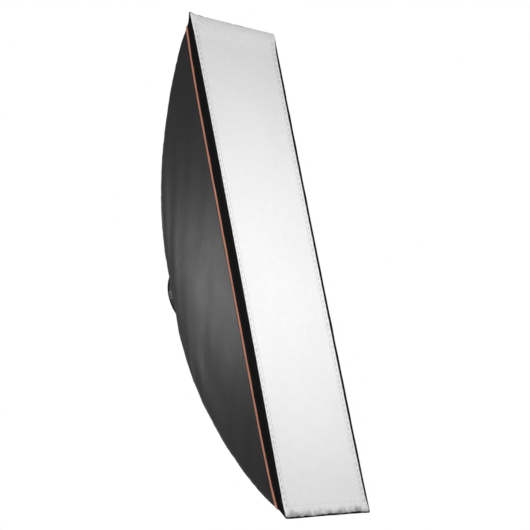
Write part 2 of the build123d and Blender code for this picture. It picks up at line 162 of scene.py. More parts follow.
def ring_line(half_x, half_z, radius, n_long, n_short, n_arc):
    """Points (x, z) of a closed rounded rectangle, starting at the lower right corner."""
    counts = [n_long if w in UPRIGHT else n_short for w in WALLS]
    lines = [wall_line(w, half_x, half_z, radius, n, n_arc)[:-1] for w, n in zip(WALLS, counts)]
    return np.concatenate(lines)


def ring_at(y, inset, **counts):
    """Closed loop of points (x, y, z) around the shell at depth y, inset inside its outer face."""
    s = float(station(y))
    half_x, half_z = halves_at(s, inset)
    line = ring_line(half_x, half_z, max(CORNER_R - inset, LEAST_R), **counts)
    return np.stack([line[:, 0], np.full(len(line), y), line[:, 1]], 1)


# ---- Mesh building ----


def normals_of(points, closed_v=False):
    """Unit normals of a grid of points (rows u, columns v), pointing along dv x du."""
    du = np.gradient(points, axis=0)
    if closed_v:
        dv = (np.roll(points, -1, axis=1) - np.roll(points, 1, axis=1)) / 2
    else:
        dv = np.gradient(points, axis=1)
    n = np.cross(dv, du)
    return n / np.maximum(np.linalg.norm(n, axis=-1, keepdims=True), 1e-12)


def run_lengths(points, axis, closed=False):
    """Arc length along one axis of a grid, averaged over the other, for its UVs."""
    steps = np.linalg.norm(np.diff(points, axis=axis), axis=-1).mean(axis=1 - axis)
    if closed:
        last = np.take(points, 0, axis=axis) - np.take(points, -1, axis=axis)
        steps = np.append(steps, np.linalg.norm(last, axis=-1).mean())
    return np.concatenate([[0], np.cumsum(steps)])


def build_mesh(name, vertices, faces, uvs, material):
    """A smooth object from vertices, quads or other polygons, and one UV for each face corner."""
    mesh = bpy.data.meshes.new(name)
    mesh.from_pydata([tuple(v) for v in vertices], [], [tuple(f) for f in faces])
    mesh.validate()
    if uvs is not None:
        layer = mesh.uv_layers.new(name="cloth")
        layer.data.foreach_set("uv", np.asarray(uvs, np.float32).ravel())
    mesh.polygons.foreach_set("use_smooth", [True] * len(mesh.polygons))
    obj = bpy.data.objects.new(name, mesh)
    bpy.context.scene.collection.objects.link(obj)
    mesh.materials.append(material)
    return obj


def grid_object(name, points, material, closed_v=False, closed_u=False):
    """A smooth surface through a grid of points, with UVs in metres."""
    nu, nv = points.shape[:2]
    u_length = run_lengths(points, 0, closed_u)
    v_length = run_lengths(points, 1, closed_v)
    iu = np.arange(nu if closed_u else nu - 1)
    iv = np.arange(nv if closed_v else nv - 1)
    a, b = np.meshgrid(iu, iv, indexing="ij")
    a, b = a.ravel(), b.ravel()
    a1, b1 = (a + 1) % nu, (b + 1) % nv
    faces = np.stack([a * nv + b, a * nv + b1, a1 * nv + b1, a1 * nv + b], 1)
    around = ((a, b), (a, b + 1), (a + 1, b + 1), (a + 1, b))
    uv = np.stack([np.stack([u_length[row], v_length[column]], 1) for row, column in around], 1)
    return build_mesh(name, points.reshape(-1, 3), faces, uv.reshape(-1, 2), material)


def thicken(obj, thickness, offset=-1.0):
    """Gives a surface its thickness; with offset -1 it grows behind the surface."""
    solid = obj.modifiers.new("thickness", "SOLIDIFY")
    solid.thickness = thickness
    solid.offset = offset
    solid.use_even_offset = False
    return obj


def placed(obj, body, slot, *nodes):
    """Rides a finished piece on its body and hides the CAD nodes it stands for; its slot argument is not
    used.
    """
    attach(obj, body)
    if nodes:
        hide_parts(*nodes)
    return obj


def ripple(seed, waves, low, high, u, v):
    """Smooth waves over (u, v), low to high metres long and about -1 to 1 high, from seeded sines."""
    rng = np.random.default_rng(seed)
    total = np.zeros(np.broadcast(u, v).shape)
    for _ in range(waves):
        length = low * (high / low) ** rng.random()
        angle = rng.random() * pi
        phase = rng.random() * 2 * pi
        total += np.sin(2 * pi / length * (u * cos(angle) + v * sin(angle)) + phase)
    return total / sqrt(waves)


# ---- Materials ----


LOOKS = {}  # every finished material, by its slot's name
MIX_FIRST, MIX_SECOND, MIX_RESULT = 6, 7, 2  # a Mix node's sockets for colours
WAVE_PER_METRE = 2 * pi / 20  # a Wave texture's scale for ridges a metre apart
THREAD_WANDER = 0.35
SLANT = radians(38)  # of the webbing's ribs


class Look:
    """A procedural material, kept in LOOKS: textures in metres, joined to one principled shader."""

    def __init__(self, name, roughness, metallic=0.0, **sockets):
        self.material = LOOKS[name] = bpy.data.materials.new(name)
        self.material.use_nodes = True
        self.nodes = self.material.node_tree.nodes
        self.links = self.material.node_tree.links
        self.shader = self.nodes["Principled BSDF"]
        self.shader.inputs["Roughness"].default_value = roughness
        self.shader.inputs["Metallic"].default_value = metallic
        for socket, value in sockets.items():
            self.shader.inputs[socket.replace("_", " ")].default_value = value
        self.coordinates = self.nodes.new("ShaderNodeTexCoord")

    def add(self, kind, inputs=(), **settings):
        """A node, with its settings, and its inputs given as values or as other nodes' outputs."""
        node = self.nodes.new(kind)
        for name, value in settings.items():
            setattr(node, name, value)
        for socket, value in dict(inputs).items():
            if isinstance(value, bpy.types.NodeSocket):
                self.links.new(value, node.inputs[socket])
            else:
                node.inputs[socket].default_value = value
        return node

    def place(self, where, scale=(1, 1, 1), turn=0.0):
        """Texture coordinates in metres, scaled and turned about their third axis."""
        mapping = self.add(
            "ShaderNodeMapping",
            {"Vector": self.coordinates.outputs[where], "Scale": scale, "Rotation": (0, 0, turn)},
        )
        return mapping.outputs["Vector"]

    def noise(self, vector, size, detail=3.0, roughness=0.55):
        """Noise whose features are about size metres across."""
        inputs = {"Vector": vector, "Scale": 1 / size, "Detail": detail, "Roughness": roughness}
        return self.add("ShaderNodeTexNoise", inputs).outputs["Fac"]

    def cells(self, vector, size, smooth=0.6):
        """Rounded cells about size metres across."""
        inputs = {"Vector": vector, "Scale": 1 / size, "Smoothness": smooth}
        return self.add("ShaderNodeTexVoronoi", inputs, feature="SMOOTH_F1").outputs["Distance"]

    def bands(self, vector, pitch, direction="X", distortion=0.0):
        """Sine ridges pitch metres apart."""
        inputs = {"Vector": vector, "Scale": WAVE_PER_METRE / pitch}
        inputs.update({"Distortion": distortion, "Detail Scale": 2.0})
        return self.add("ShaderNodeTexWave", inputs, bands_direction=direction).outputs["Fac"]

    def calculate(self, operation, first, second=0.0):
        """One step of arithmetic on two values."""
        return self.add("ShaderNodeMath", {0: first, 1: second}, operation=operation).outputs[0]

    def mean(self, first, second):
        """The mean of two values."""
        return self.calculate("MULTIPLY", self.calculate("ADD", first, second), 0.5)

    def weave(self, vector, pitch):
        """The height of a plain weave, with threads pitch metres apart."""
        warp, weft = (self.bands(vector, pitch, direction, THREAD_WANDER) for direction in "XY")
        over = self.calculate("MULTIPLY", warp, weft)
        return self.calculate("ADD", self.calculate("MAXIMUM", warp, weft), over)

    def ramp(self, factor, low, high, start=0.0, end=1.0):
        """A colour between low and high, from a factor between start and end."""
        node = self.add("ShaderNodeValToRGB", {"Fac": factor})
        for stop, position, colour in zip(node.color_ramp.elements, (start, end), (low, high)):
            stop.position = position
            stop.color = (*colour, 1)
        return node.outputs["Color"]

    def span(self, factor, low, high):
        """A value between low and high, as a factor goes from 0 to 1."""
        inputs = {"Value": factor, "To Min": low, "To Max": high}
        return self.add("ShaderNodeMapRange", inputs).outputs["Result"]

    def clamped(self, value, start, end):
        """How far a value has gone from start to end, between 0 and 1."""
        inputs = {"Value": value, "From Min": start, "From Max": end}
        return self.add("ShaderNodeMapRange", inputs, interpolation_type="SMOOTHSTEP").outputs["Result"]

    def blend(self, factor, first, second):
        """A colour that goes from first to second as the factor goes from 0 to 1."""
        inputs = {0: factor, MIX_FIRST: first, MIX_SECOND: second}
        return self.add("ShaderNodeMix", inputs, data_type="RGBA").outputs[MIX_RESULT]

    def paint(self, colour, roughness, bumps):
        """Joins a colour, a roughness and bumps, as (height, metres), to the shader."""
        self.links.new(colour, self.shader.inputs["Base Color"])
        if roughness is not None:
            self.links.new(roughness, self.shader.inputs["Roughness"])
        normal = None
        for height, distance in bumps:
            inputs = {"Height": height, "Distance": distance, "Strength": 1.0}
            if normal is not None:
                inputs["Normal"] = normal
            normal = self.add("ShaderNodeBump", inputs).outputs["Normal"]
        self.links.new(normal, self.shader.inputs["Normal"])
        return self.material


def woven(name, dark, light, pitch, bump, roughness, cloud=0.12, where="UV", **sockets):
    """Woven cloth: threads at their real pitch, slubs, and slow changes of tone and gloss."""
    look = Look(name, roughness, **sockets)
    flat = look.place(where)
    threads = look.weave(flat, pitch)
    tone = look.mean(look.noise(flat, cloud, 4), look.noise(flat, cloud / 12, 2))
    slubs = look.noise(look.place(where, scale=(1, 0.12, 1)), pitch * 6, 2)
    colour = look.ramp(tone, dark, light, 0.3, 0.7)
    gloss = look.span(look.noise(flat, cloud / 3, 3), roughness - 0.07, roughness + 0.07)
    return look.paint(colour, gloss, [(threads, bump), (slubs, bump * 0.8)])


STITCH_INSET = 11.5 * MM  # from the diffuser's sides to its hem stitches
HEM_WHITE_AND_HIGHLIGHT_INSET = 9 * MM  # where the folded hem is at its whitest: its double layer, with a painted highlight on it
SHADE_PATCH_SIZE = 20 * MM  # size of the patches of painted shade along the lower edge, and how far they wander
SHADE_TOP, SHADE_END = 25 * MM, -7 * MM  # above the diffuser's lower edge, and past it


def diffusion():
    """The diffuser's thin white cloth: whiter on its folded hem, partly its double layer and partly a
    painted highlight; darker towards its lower edge, where the black lip shows through and, above it, as
    painted shade.
    """
    look = Look("diffusion_cloth", 0.62, Sheen_Weight=0.25, Sheen_Roughness=0.5, Specular_IOR_Level=0.35)
    flat = look.place("UV")
    threads = look.weave(flat, 0.6 * MM)
    tone = look.mean(look.noise(flat, 200 * MM, 4), look.noise(flat, 17 * MM, 2))
    single = look.ramp(tone, grey(0.87), (0.925, 0.925, 0.92), 0.3, 0.7)
    across, up = (look.add("ShaderNodeSeparateXYZ", {0: flat}).outputs[k] for k in (0, 1))
    # painted highlight: the folded hem strip outside the stitches is made whiter, partly for its double
    # layer and partly as a highlight painted into its colour
    fold = look.clamped(look.calculate("ABSOLUTE", across), HALF_X - STITCH_INSET, HALF_X - HEM_WHITE_AND_HIGHLIGHT_INSET)
    folded = look.blend(fold, single, (0.98, 0.98, 0.975, 1))
    # painted shade: the cloth darkens in wandering patches towards its lower edge, where the black lip shows
    # through the thin cloth, and higher up as painted shade of the rolled edge
    shade_patches = look.noise(look.place("UV", scale=(1, 0.6, 1)), SHADE_PATCH_SIZE, 3)
    edge = look.calculate("ADD", up, look.span(shade_patches, -SHADE_PATCH_SIZE, SHADE_PATCH_SIZE))
    shade = look.clamped(edge, SHADE_TOP - HALF_Z, SHADE_END - HALF_Z)
    colour = look.blend(shade, folded, (*grey(0.10), 1))
    gloss = look.span(look.noise(flat, 67 * MM, 3), 0.55, 0.69)
    return look.paint(colour, gloss, [(threads, 0.02 * MM)])


def silver():
    """Metal-coated lining with an embossed pebble grain."""
    look = Look("silver_lining", 0.34, 0.92, Specular_IOR_Level=0.5)
    flat = look.place("UV")
    pebbles = look.cells(flat, 2.6 * MM)
    creases = look.noise(flat, 30 * MM, 4)
    colour = look.ramp(creases, (0.58, 0.59, 0.60), (0.80, 0.80, 0.79), 0.3, 0.7)
    gloss = look.span(look.noise(flat, 12 * MM, 3), 0.26, 0.44)
    return look.paint(colour, gloss, [(creases, 0.4 * MM), (pebbles, 0.5 * MM)])


def fuzzy(name, dark, light, fibre, bump, roughness):
    """The pile of a loop or hook tape."""
    look = Look(name, roughness, Sheen_Weight=0.3, Sheen_Roughness=0.5)
    flat = look.place("UV")
    pile = look.noise(flat, fibre, 4, 0.7)
    tufts = look.cells(flat, fibre * 2.2, 0.3)
    colour = look.ramp(pile, dark, light, 0.35, 0.7)
    return look.paint(colour, look.span(pile, roughness, 0.98), [(tufts, bump), (pile, bump)])


def ribbed(name, dark, light, pitch, bump, roughness):
    """Ribbed tape: ribs across its length, with finer threads along it."""
    look = Look(name, roughness, Sheen_Weight=0.15, Sheen_Roughness=0.4)
    flat = look.place("UV")
    ribs = look.bands(flat, pitch, "Y", 0.2)
    threads = look.bands(flat, pitch * 0.45, "X", 0.4)
    tone = look.noise(flat, pitch * 9, 3)
    colour = look.ramp(look.mean(ribs, tone), dark, light, 0.2, 0.8)
    gloss = look.span(tone, roughness - 0.08, roughness + 0.08)
    return look.paint(colour, gloss, [(ribs, bump), (threads, bump / 3)])


def twill(name, dark, light, pitch, bump, roughness):
    """Webbing with a herringbone of slanted ribs."""
    look = Look(name, roughness, Sheen_Weight=0.1, Sheen_Roughness=0.4)
    one_way, other_way = (look.bands(look.place("UV", turn=t), pitch, "X", 0.15) for t in (SLANT, -SLANT))
    side = look.bands(look.place("UV"), pitch * 8, "X")
    which = look.calculate("GREATER_THAN", side, 0.5)
    ribs = look.add("ShaderNodeMix", {"Factor": which, "A": one_way, "B": other_way}).outputs["Result"]
    colour = look.ramp(ribs, dark, light)
    wear = look.noise(look.place("UV"), 20 * MM, 4)
    return look.paint(colour, look.span(wear, roughness - 0.1, roughness + 0.1), [(ribs, bump)])


def metal(name, dark, light, roughness, grain, grain_size):
    """Metal with a grain, fine scratches and slightly uneven gloss."""
    look = Look(name, roughness, 1.0)
    solid = look.place("Object", scale=grain)
    lines = look.noise(solid, grain_size, 4, 0.65)
    marks = look.noise(look.place("Object"), 9 * MM, 5, 0.6)
    colour = look.ramp(look.mean(lines, marks), dark, light, 0.3, 0.7)
    return look.paint(colour, look.span(marks, roughness * 0.7, roughness * 1.35), [(lines, 0.02 * MM)])


def moulded(name, dark, light, roughness):
    """Moulded plastic with a spark-eroded grain and slightly polished spots."""
    look = Look(name, roughness, Specular_IOR_Level=0.45)
    solid = look.place("Object")
    texture = look.noise(solid, 0.35 * MM, 3, 0.6)
    patches = look.noise(solid, 12 * MM, 4)
    colour = look.ramp(patches, dark, light, 0.3, 0.7)
    return look.paint(colour, look.span(patches, roughness * 0.8, roughness * 1.2), [(texture, 0.05 * MM)])


def grey(value, warm=0.0):
    """A grey of that linear value, a little warm or cool."""
    return (value * (1 + warm), value, value * (1 - warm))


EVEN = (1, 1, 1)  # a grain with no direction
woven(
    "black_nylon", grey(0.014), grey(0.022), 0.55 * MM, 0.012 * MM, 0.35, 0.16,
    Sheen_Weight=0.10, Sheen_Roughness=0.35, Specular_IOR_Level=0.6,
)
silver()
woven(
    "lip_cloth", grey(0.006), grey(0.011), 0.7 * MM, 0.16 * MM, 0.8, 0.05,
    Sheen_Weight=0.02, Sheen_Roughness=0.5, Specular_IOR_Level=0.12,
)
woven(
    "orange_piping", (0.92, 0.33, 0.205), (1.0, 0.45, 0.30), 0.5 * MM, 0.10 * MM, 0.58, 0.03,
    Sheen_Weight=0.4, Sheen_Roughness=0.4,
)
fuzzy("loop_tape", grey(0.008), grey(0.03), 0.35 * MM, 0.5 * MM, 0.85)
fuzzy("hook_tape", grey(0.010), grey(0.035), 0.6 * MM, 0.6 * MM, 0.6)
diffusion()
woven(
    "baffle_cloth", (0.84, 0.845, 0.85), grey(0.90), 0.6 * MM, 0.03 * MM, 0.6, 0.15,
    Sheen_Weight=0.25, Sheen_Roughness=0.5, Specular_IOR_Level=0.35,
)
ribbed("hem_binding", grey(0.60), grey(0.82), 1.0 * MM, 0.18 * MM, 0.6)
ribbed("elastic", grey(0.012), grey(0.045), 1.6 * MM, 0.35 * MM, 0.62)
twill("webbing", grey(0.010), grey(0.035), 1.4 * MM, 0.3 * MM, 0.5)
metal("zinc_steel", grey(0.50, 0.02), grey(0.66, 0.01), 0.30, EVEN, 0.8 * MM)
metal("ring_aluminium", grey(0.60), grey(0.72), 0.36, (1, 12, 1), 0.5 * MM)
metal("plated_screws", grey(0.55), grey(0.75), 0.22, EVEN, 0.3 * MM)
metal("socket_steel", grey(0.42), grey(0.58), 0.34, EVEN, 1.2 * MM)
moulded("knob_plastic", grey(0.012), grey(0.022), 0.42)
moulded("brake_plastic", grey(0.10), grey(0.14), 0.5)
moulded("cap_plastic", grey(0.015), grey(0.025), 0.38)
metal("rod_steel", grey(0.45), grey(0.60), 0.27, (1, 1, 0.06), 0.4 * MM)


def thread(name, dark, light, roughness):
    """Sewing thread, whose fibres follow the object and not a UV map."""
    return woven(name, grey(dark), grey(light), 0.25 * MM, 0.05 * MM, roughness, 0.02, where="Object")


THREAD_DARK = thread("thread_dark", 0.02, 0.06, 0.5)
THREAD_GREY = thread("thread_grey", 0.22, 0.36, 0.6)
THREAD_LIGHT = thread("thread_light", 0.55, 0.75, 0.5)


# ---- Cloth shell: four black walls, each with a silver lining ----

SHELL_ROWS = 84
STATIONS = np.linspace(0, float(station(SHELL_FRONT_Y)), SHELL_ROWS)
LONG_COUNT, SHORT_COUNT, ARC_COUNT = 261, 81, 6
WALL_SAG = 2.6 * MM  # how far the cloth sinks between its rods
BILLOW = 0.55 * MM
HELD = 25 * MM  # how far from its ends a wall is held in shape
REAR_FOLDS = 9  # folds that run forward from the ring
PIPING_PUCKER, PIPING_FADE = 0.30 * MM, 14 * MM
SEAM_PUCKER, PUCKER_FADE = 0.35 * MM, 12 * MM
FELL = 8 * MM  # width of the flat-felled seam along each corner
FELL_RISE = 0.5 * MM
FELL_START = 10 * MM  # over which it rises from the rear edge
EDGE_SOFTNESS = 0.5 * MM  # over which the step at a seam or hem is rounded


def wall_grid(wall):
    """Smooth points of one wall: rows from the rear edge to the piping, columns along the wall."""
    rows = []
    for s in STATIONS:
        count = LONG_COUNT if wall in UPRIGHT else SHORT_COUNT
        line = wall_line(wall, *halves_at(s, 0), CORNER_R, count, ARC_COUNT)
        rows.append(np.stack([line[:, 0], np.full(len(line), depth_at(s)), line[:, 1]], 1))
    return pulled(np.array(rows))


def run_along(points, axis):
    """Distance of every grid point from the first one, measured along its own row or column."""
    steps = np.linalg.norm(np.diff(points, axis=axis), axis=-1)
    zero = np.zeros_like(np.take(steps, [0], axis=axis))
    return np.concatenate([zero, np.cumsum(steps, axis=axis)], axis=axis)


def wall_relief(points, seed):
    """How far the cloth stands out from its smooth shape: sag between rods, folds and puckers."""
    from_rear = run_along(points, 0)
    from_front = from_rear[-1] - from_rear
    across = run_along(points, 1)
    width = across[:, -1:]
    share = across / width
    from_seam = np.minimum(across, width - across)
    held = (1 - np.exp(-from_front / HELD)) * (1 - np.exp(-from_rear / HELD))
    relief = -WALL_SAG * held * np.sin(pi * share) ** 0.7
    relief += BILLOW * held * ripple(seed, 7, 90 * MM, 320 * MM, from_front, across)
    rng = np.random.default_rng(seed + 1)
    for _ in range(REAR_FOLDS):
        centre, reach, spread = rng.random(), (25 + 70 * rng.random()) * MM, (5 + 9 * rng.random()) * MM
        height = (0.9 * rng.random() - 0.25) * MM
        relief += height * np.exp(-(((share - centre) * width / spread) ** 2) - from_rear / reach)
    pucker = ripple(seed + 2, 5, 9 * MM, 26 * MM, across, from_front * 0.15)
    relief += PIPING_PUCKER * pucker * np.exp(-from_front / PIPING_FADE)
    seam_pucker = ripple(seed + 3, 5, 10 * MM, 30 * MM, from_front, from_seam * 0.1)
    relief += SEAM_PUCKER * seam_pucker * np.exp(-from_seam / PUCKER_FADE) * held
    fell = FELL_RISE / (1 + np.exp((from_seam - FELL) / EDGE_SOFTNESS))
    return relief + fell * np.minimum(1, from_rear / FELL_START)


def make_shell():
    """The walls and their linings. Returns each wall's outer points and normals."""
    surfaces = {}
    for k, wall in enumerate(WALLS):
        smooth = wall_grid(wall)
        normals = normals_of(smooth)
        points = smooth + normals * wall_relief(smooth, 40 + 10 * k)[..., None]
        surfaces[wall] = (points, normals)
        panel = grid_object(f"shell_panel_{wall}", points, LOOKS["black_nylon"])
        thicken(panel, CLOTH)
        placed(panel, "softbox", "black_nylon", f"panel_{wall}")
        inner = (points - normals * (CLOTH + GLUE))[::2, ::2]
        lining = grid_object(f"silver_lining_{wall}", inner, LOOKS["silver_lining"])
        thicken(lining, LINING)
        placed(lining, "softbox", "silver_lining", f"lining_{wall}")
    return surfaces


# ---- Stitches ----

# A stitch's cross-sections, as (place along its length, share of its full height)
STITCH_RINGS = ((-0.5, 0.0), (-0.3, 0.85), (0.3, 0.85), (0.5, 0.0))
STITCH_PITCH = 4 * MM
STITCH_SIZE = (3.0 * MM, 0.7 * MM, 0.35 * MM)


def stitch_row(name, line, normals, body, slot, yarn, pitch=STITCH_PITCH, size=STITCH_SIZE, closed=True):
    """Small raised stitches along a line on a surface, all in one mesh."""
    if closed:
        line, normals = np.vstack([line, line[:1]]), np.vstack([normals, normals[:1]])
    along = np.concatenate([[0], np.cumsum(np.linalg.norm(np.diff(line, axis=0), axis=1))])
    count = int(along[-1] // pitch)
    at = (np.arange(count) + 0.5) * along[-1] / count

    def sample(values, where):
        return np.stack([np.interp(where, along, values[:, k]) for k in range(3)], 1)

    length, width, height = size
    middle, up = sample(line, at), sample(normals, at)
    way = sample(line, at + length / 2) - sample(line, at - length / 2)
    way /= np.linalg.norm(way, axis=1, keepdims=True)
    side = np.cross(way, up)
    side /= np.linalg.norm(side, axis=1, keepdims=True)
    corners = []
    for shift, full in STITCH_RINGS:
        centre = middle + way * length * shift
        if full == 0:
            corners.append(centre - up * height * 0.2)
            continue
        for turn in range(4):
            angle = pi / 2 * turn
            corners.append(centre + side * width / 2 * cos(angle) + up * height * full * sin(angle))
    vertices = np.stack(corners, 1).reshape(-1, 3)
    unit = [(0, 1 + k, 1 + (k + 1) % 4) for k in range(4)]
    unit += [(1 + k, 5 + k, 5 + (k + 1) % 4, 1 + (k + 1) % 4) for k in range(4)]
    unit += [(9, 5 + (k + 1) % 4, 5 + k) for k in range(4)]
    faces = [tuple(10 * n + v for v in face) for n in range(count) for face in unit]
    return placed(build_mesh(name, vertices, faces, None, yarn), body, slot)


# ---- Bands that run right round the front: lip, piping and tapes ----

BAND_COUNTS = {"n_long": 381, "n_short": 101, "n_arc": 6}


def band_points(section):
    """Points of a closed loop around the front: one row for each (depth y, inset) of the section."""
    return pulled(np.array([ring_at(y, inset, **BAND_COUNTS) for y, inset in section]))


def band(name, points, look, body, slot, *nodes, thickness=0.0, closed_u=False):
    """A closed cloth loop through rows of points, sewn all the way round."""
    obj = grid_object(name, points, LOOKS[look], closed_v=True, closed_u=closed_u)
    if thickness:
        thicken(obj, thickness)
    return placed(obj, body, slot, *nodes)


def tape(name, y_rear, y_front, inset, thickness, look, body, node, seed):
    """A flat tape sewn inside the front, whose surface waves a little."""
    section = [(y, inset) for y in np.linspace(y_rear, y_front, 6)]
    points = band_points(section)
    along = run_along(points[:1], 1)[0]
    depth = np.linspace(0, 1, len(section))[:, None]
    wave = 0.10 * MM * ripple(seed, 4, 14 * MM, 60 * MM, along[None, :], depth * 10 * MM)
    points = points + normals_of(points, closed_v=True) * wave[..., None]
    piece = band(name, points, look, body, look, node, thickness=thickness)


PIPING_R = 2.7 * MM
PIPING_SUNK = 0.5 * MM
PIPING_Y = (SHELL_FRONT_Y + LIP_REAR_Y) / 2
FOLD = LIP / 2
LIP_CLOTH = 0.7 * MM
LIP_OUTSIDE = 9  # rows on the lip's outer face, from the piping to the fold
# Inside, the lip's seam allowance runs over the cord and lies on the lining: (back, inset) in mm
SEAM_ALLOWANCE = ((-4.0, 2.4), (-2.0, 3.6), (0.0, 4.3), (2.5, 4.3), (5.0, 4.0), (8.0, 4.0), (10.0, 3.6))


def make_lip():
    """The black front strip, folded over at the front edge, and its two rows of stitches."""
    fold_y = FRONT_Y + FOLD
    outer = [(y, 0.0) for y in np.linspace(PIPING_Y, fold_y, LIP_OUTSIDE)]
    turn = [(fold_y - FOLD * sin(a), FOLD - FOLD * cos(a)) for a in np.linspace(0, pi, 7)[1:-1]]
    inner = [(y, LIP) for y in np.linspace(fold_y, PIPING_Y - 6 * MM, 6)]
    inner += [(PIPING_Y + back * MM, inset * MM) for back, inset in SEAM_ALLOWANCE]
    section = outer + turn + inner
    points = band_points(section)
    along = run_along(points[:1], 1)[0][None, :]
    row = np.arange(len(section))[:, None]
    outside = np.clip(1 - (row - LIP_OUTSIDE + 1) / 6, 0, 1)
    near_seam = np.exp(-row / 2.5) + 0.6 * np.exp(-np.abs(row - 7.5) / 1.2)
    wave = 0.20 * MM * ripple(91, 5, 8 * MM, 22 * MM, along, row * 0.5 * MM) * near_seam * outside
    wave = wave + 0.35 * MM * ripple(92, 5, 60 * MM, 260 * MM, along, row * 2 * MM) * outside
    normals = normals_of(points, closed_v=True)
    points = points + normals * wave[..., None]
    nodes = [f"lip_{wall}" for wall in WALLS]
    lip = band("lip_band", points, "lip_cloth", "softbox", "lip_cloth", *nodes, thickness=LIP_CLOTH)
    for name, at in (("lip_seam_stitches", 2), ("lip_edge_stitches", LIP_OUTSIDE - 2)):
        stitch_row(name, points[at], normals[at], "softbox", "lip_cloth", THREAD_DARK)


def make_piping():
    """The round orange cord in the seam between the walls and the lip, in a woven sleeve."""
    angles = np.linspace(0, 2 * pi, 14, endpoint=False)
    section = [(PIPING_Y - PIPING_R * sin(a), PIPING_SUNK - PIPING_R * cos(a)) for a in angles]
    points = band_points(section)
    along = run_along(points[:1], 1)[0][None, :]
    twist = ripple(95, 4, 5 * MM, 14 * MM, along, angles[:, None] * PIPING_R)
    loose = ripple(96, 4, 40 * MM, 150 * MM, along, angles[:, None] * PIPING_R)
    wave = (0.10 * MM * twist + 0.12 * MM * loose)[..., None]
    points = points + normals_of(points, closed_v=True) * wave
    band("orange_piping", points, "orange_piping", "softbox", "orange_piping", "piping", closed_u=True)


# ---- Front diffuser ----

FACE_INSET = 8 * MM  # from the shell's outer face to where the diffuser's flat face ends
DIFFUSER = 0.4 * MM
HEM = 20 * MM
HEM_RISE = 0.5 * MM
FINE_INSET = HEM - 1.5 * MM
STITCH_SINK, SINK_REACH = 0.8 * MM, 1.6 * MM  # the dip under the hem stitches, and its half width
# Lift of the front near its ends: how far, how far in from the end it starts, and over what length
TOP_LIFT, TOP_SPILL, TOP_RAMP = 5.0 * MM, 62 * MM, 50 * MM
BOTTOM_LIFT, BOTTOM_SPILL, BOTTOM_RAMP = 5.2 * MM, 52 * MM, 40 * MM
LEFT_SPILL, LEFT_RAMP = 2 * MM, 9 * MM  # the same across the upper left corner
RIM_FALL = 0.95  # how much of the lift is left where the roll starts
DEEP_TUCK = 0.8 * MM  # how much deeper the right-hand edge lies
CORNER_GATHER = 0.8 * MM  # gathers at the upper left corner
EDGE_SAG = 1.5 * MM  # waves along the lower edge
SLACK, SLACK_RAMP = 0.5 * MM, 60 * MM  # slow waves in the middle, and where they start
LONG_STITCH = {"pitch": 14 * MM, "size": (10.5 * MM, 2.0 * MM, 0.6 * MM)}
FINE_STITCH = {"pitch": 5 * MM, "size": (3.6 * MM, 0.9 * MM, 0.4 * MM)}
# The cloth's rolled edge, as (inset, depth behind the face) in millimetres: tucked inside the lip,
# spilling over the lip along the top, and hanging over it along the bottom
TUCKED = (
    (6.0, -0.25), (4.7, -0.55), (3.8, -0.40), (3.3, 0.10), (3.1, 0.45),
    (3.1, 0.75), (3.3, 0.95), (3.8, 1.15), (5.1, 1.35),
)
TOP_ROLL = (
    (6.0, -4.7), (4.7, -4.65), (3.4, -4.6), (2.2, -4.5), (1.2, -4.4),
    (0.9, -4.2), (1.6, -4.05), (3.0, -2.0), (5.1, 1.35),
)
BOTTOM_ROLL = (
    (7.4, -4.9), (6.2, -4.8), (5.0, -4.7), (4.1, -4.6), (3.3, -4.4),
    (3.0, -4.2), (3.1, -3.9), (3.6, -2.0), (5.1, 1.35),
)
LINED_INSET = 5.1 * MM  # where the cloth runs back behind its rolled edge


def coons(lines):
    """A grid filling a closed outline given as its right, top, left and bottom lines."""
    right, top, left, bottom = lines
    left, top = left[::-1], top[::-1]
    u = ((bottom[:, 0] - bottom[0, 0]) / (bottom[-1, 0] - bottom[0, 0]))[None, :, None]
    v = ((right[:, 1] - right[0, 1]) / (right[-1, 1] - right[0, 1]))[:, None, None]
    sides = (1 - u) * left[:, None] + u * right[:, None]
    ends = (1 - v) * bottom[None] + v * top[None]
    low_corners = (1 - u) * (1 - v) * bottom[0] + u * (1 - v) * bottom[-1]
    return sides + ends - (low_corners + (1 - u) * v * top[0] + u * v * top[-1])


def rim_of(grid):
    """A grid's outer vertices in the order of ring_line: right, top, left, bottom."""
    last_row, last_column = grid.shape[0] - 1, grid.shape[1] - 1
    right = [(j, last_column) for j in range(last_row)]
    top = [(last_row, i) for i in range(last_column, 0, -1)]
    left = [(j, 0) for j in range(last_row, 0, -1)]
    bottom = [(0, i) for i in range(last_column)]
    return np.array(right + top + left + bottom)


def sheet_with_rim(name, grid, rows, look):
    """A cloth made of a grid facing -Y and rows of points that carry on from its rim."""
    n_rows, n_columns = grid.shape[:2]
    rim = rim_of(grid)
    edge, count = grid[rim[:, 0], rim[:, 1]], len(rim)
    index = np.arange(n_rows * n_columns).reshape(n_rows, n_columns)
    corners = (index[:-1, :-1], index[:-1, 1:], index[1:, 1:], index[1:, :-1])
    faces = [np.stack([x.ravel() for x in corners], 1)]
    inner = index[rim[:, 0], rim[:, 1]]
    vertices = [grid.reshape(-1, 3)]
    flat = [grid.reshape(-1, 3)[:, [0, 2]]]
    out = np.roll(edge, -1, axis=0) - np.roll(edge, 1, axis=0)
    out = np.stack([out[:, 2], -out[:, 0]], 1)
    out /= np.linalg.norm(out, axis=1, keepdims=True)
    last, start, run = edge, n_rows * n_columns, np.zeros(count)
    for k, row in enumerate(rows):
        run = run + np.linalg.norm(row - last, axis=1)
        outer = start + k * count + np.arange(count)
        faces.append(np.stack([inner, outer, np.roll(outer, -1), np.roll(inner, -1)], 1))
        vertices.append(row)
        flat.append(edge[:, [0, 2]] + out * run[:, None])
        inner, last = outer, row
    faces, flat = np.concatenate(faces), np.concatenate(flat)
    return build_mesh(name, np.concatenate(vertices), faces, flat[faces.ravel()], LOOKS[look])


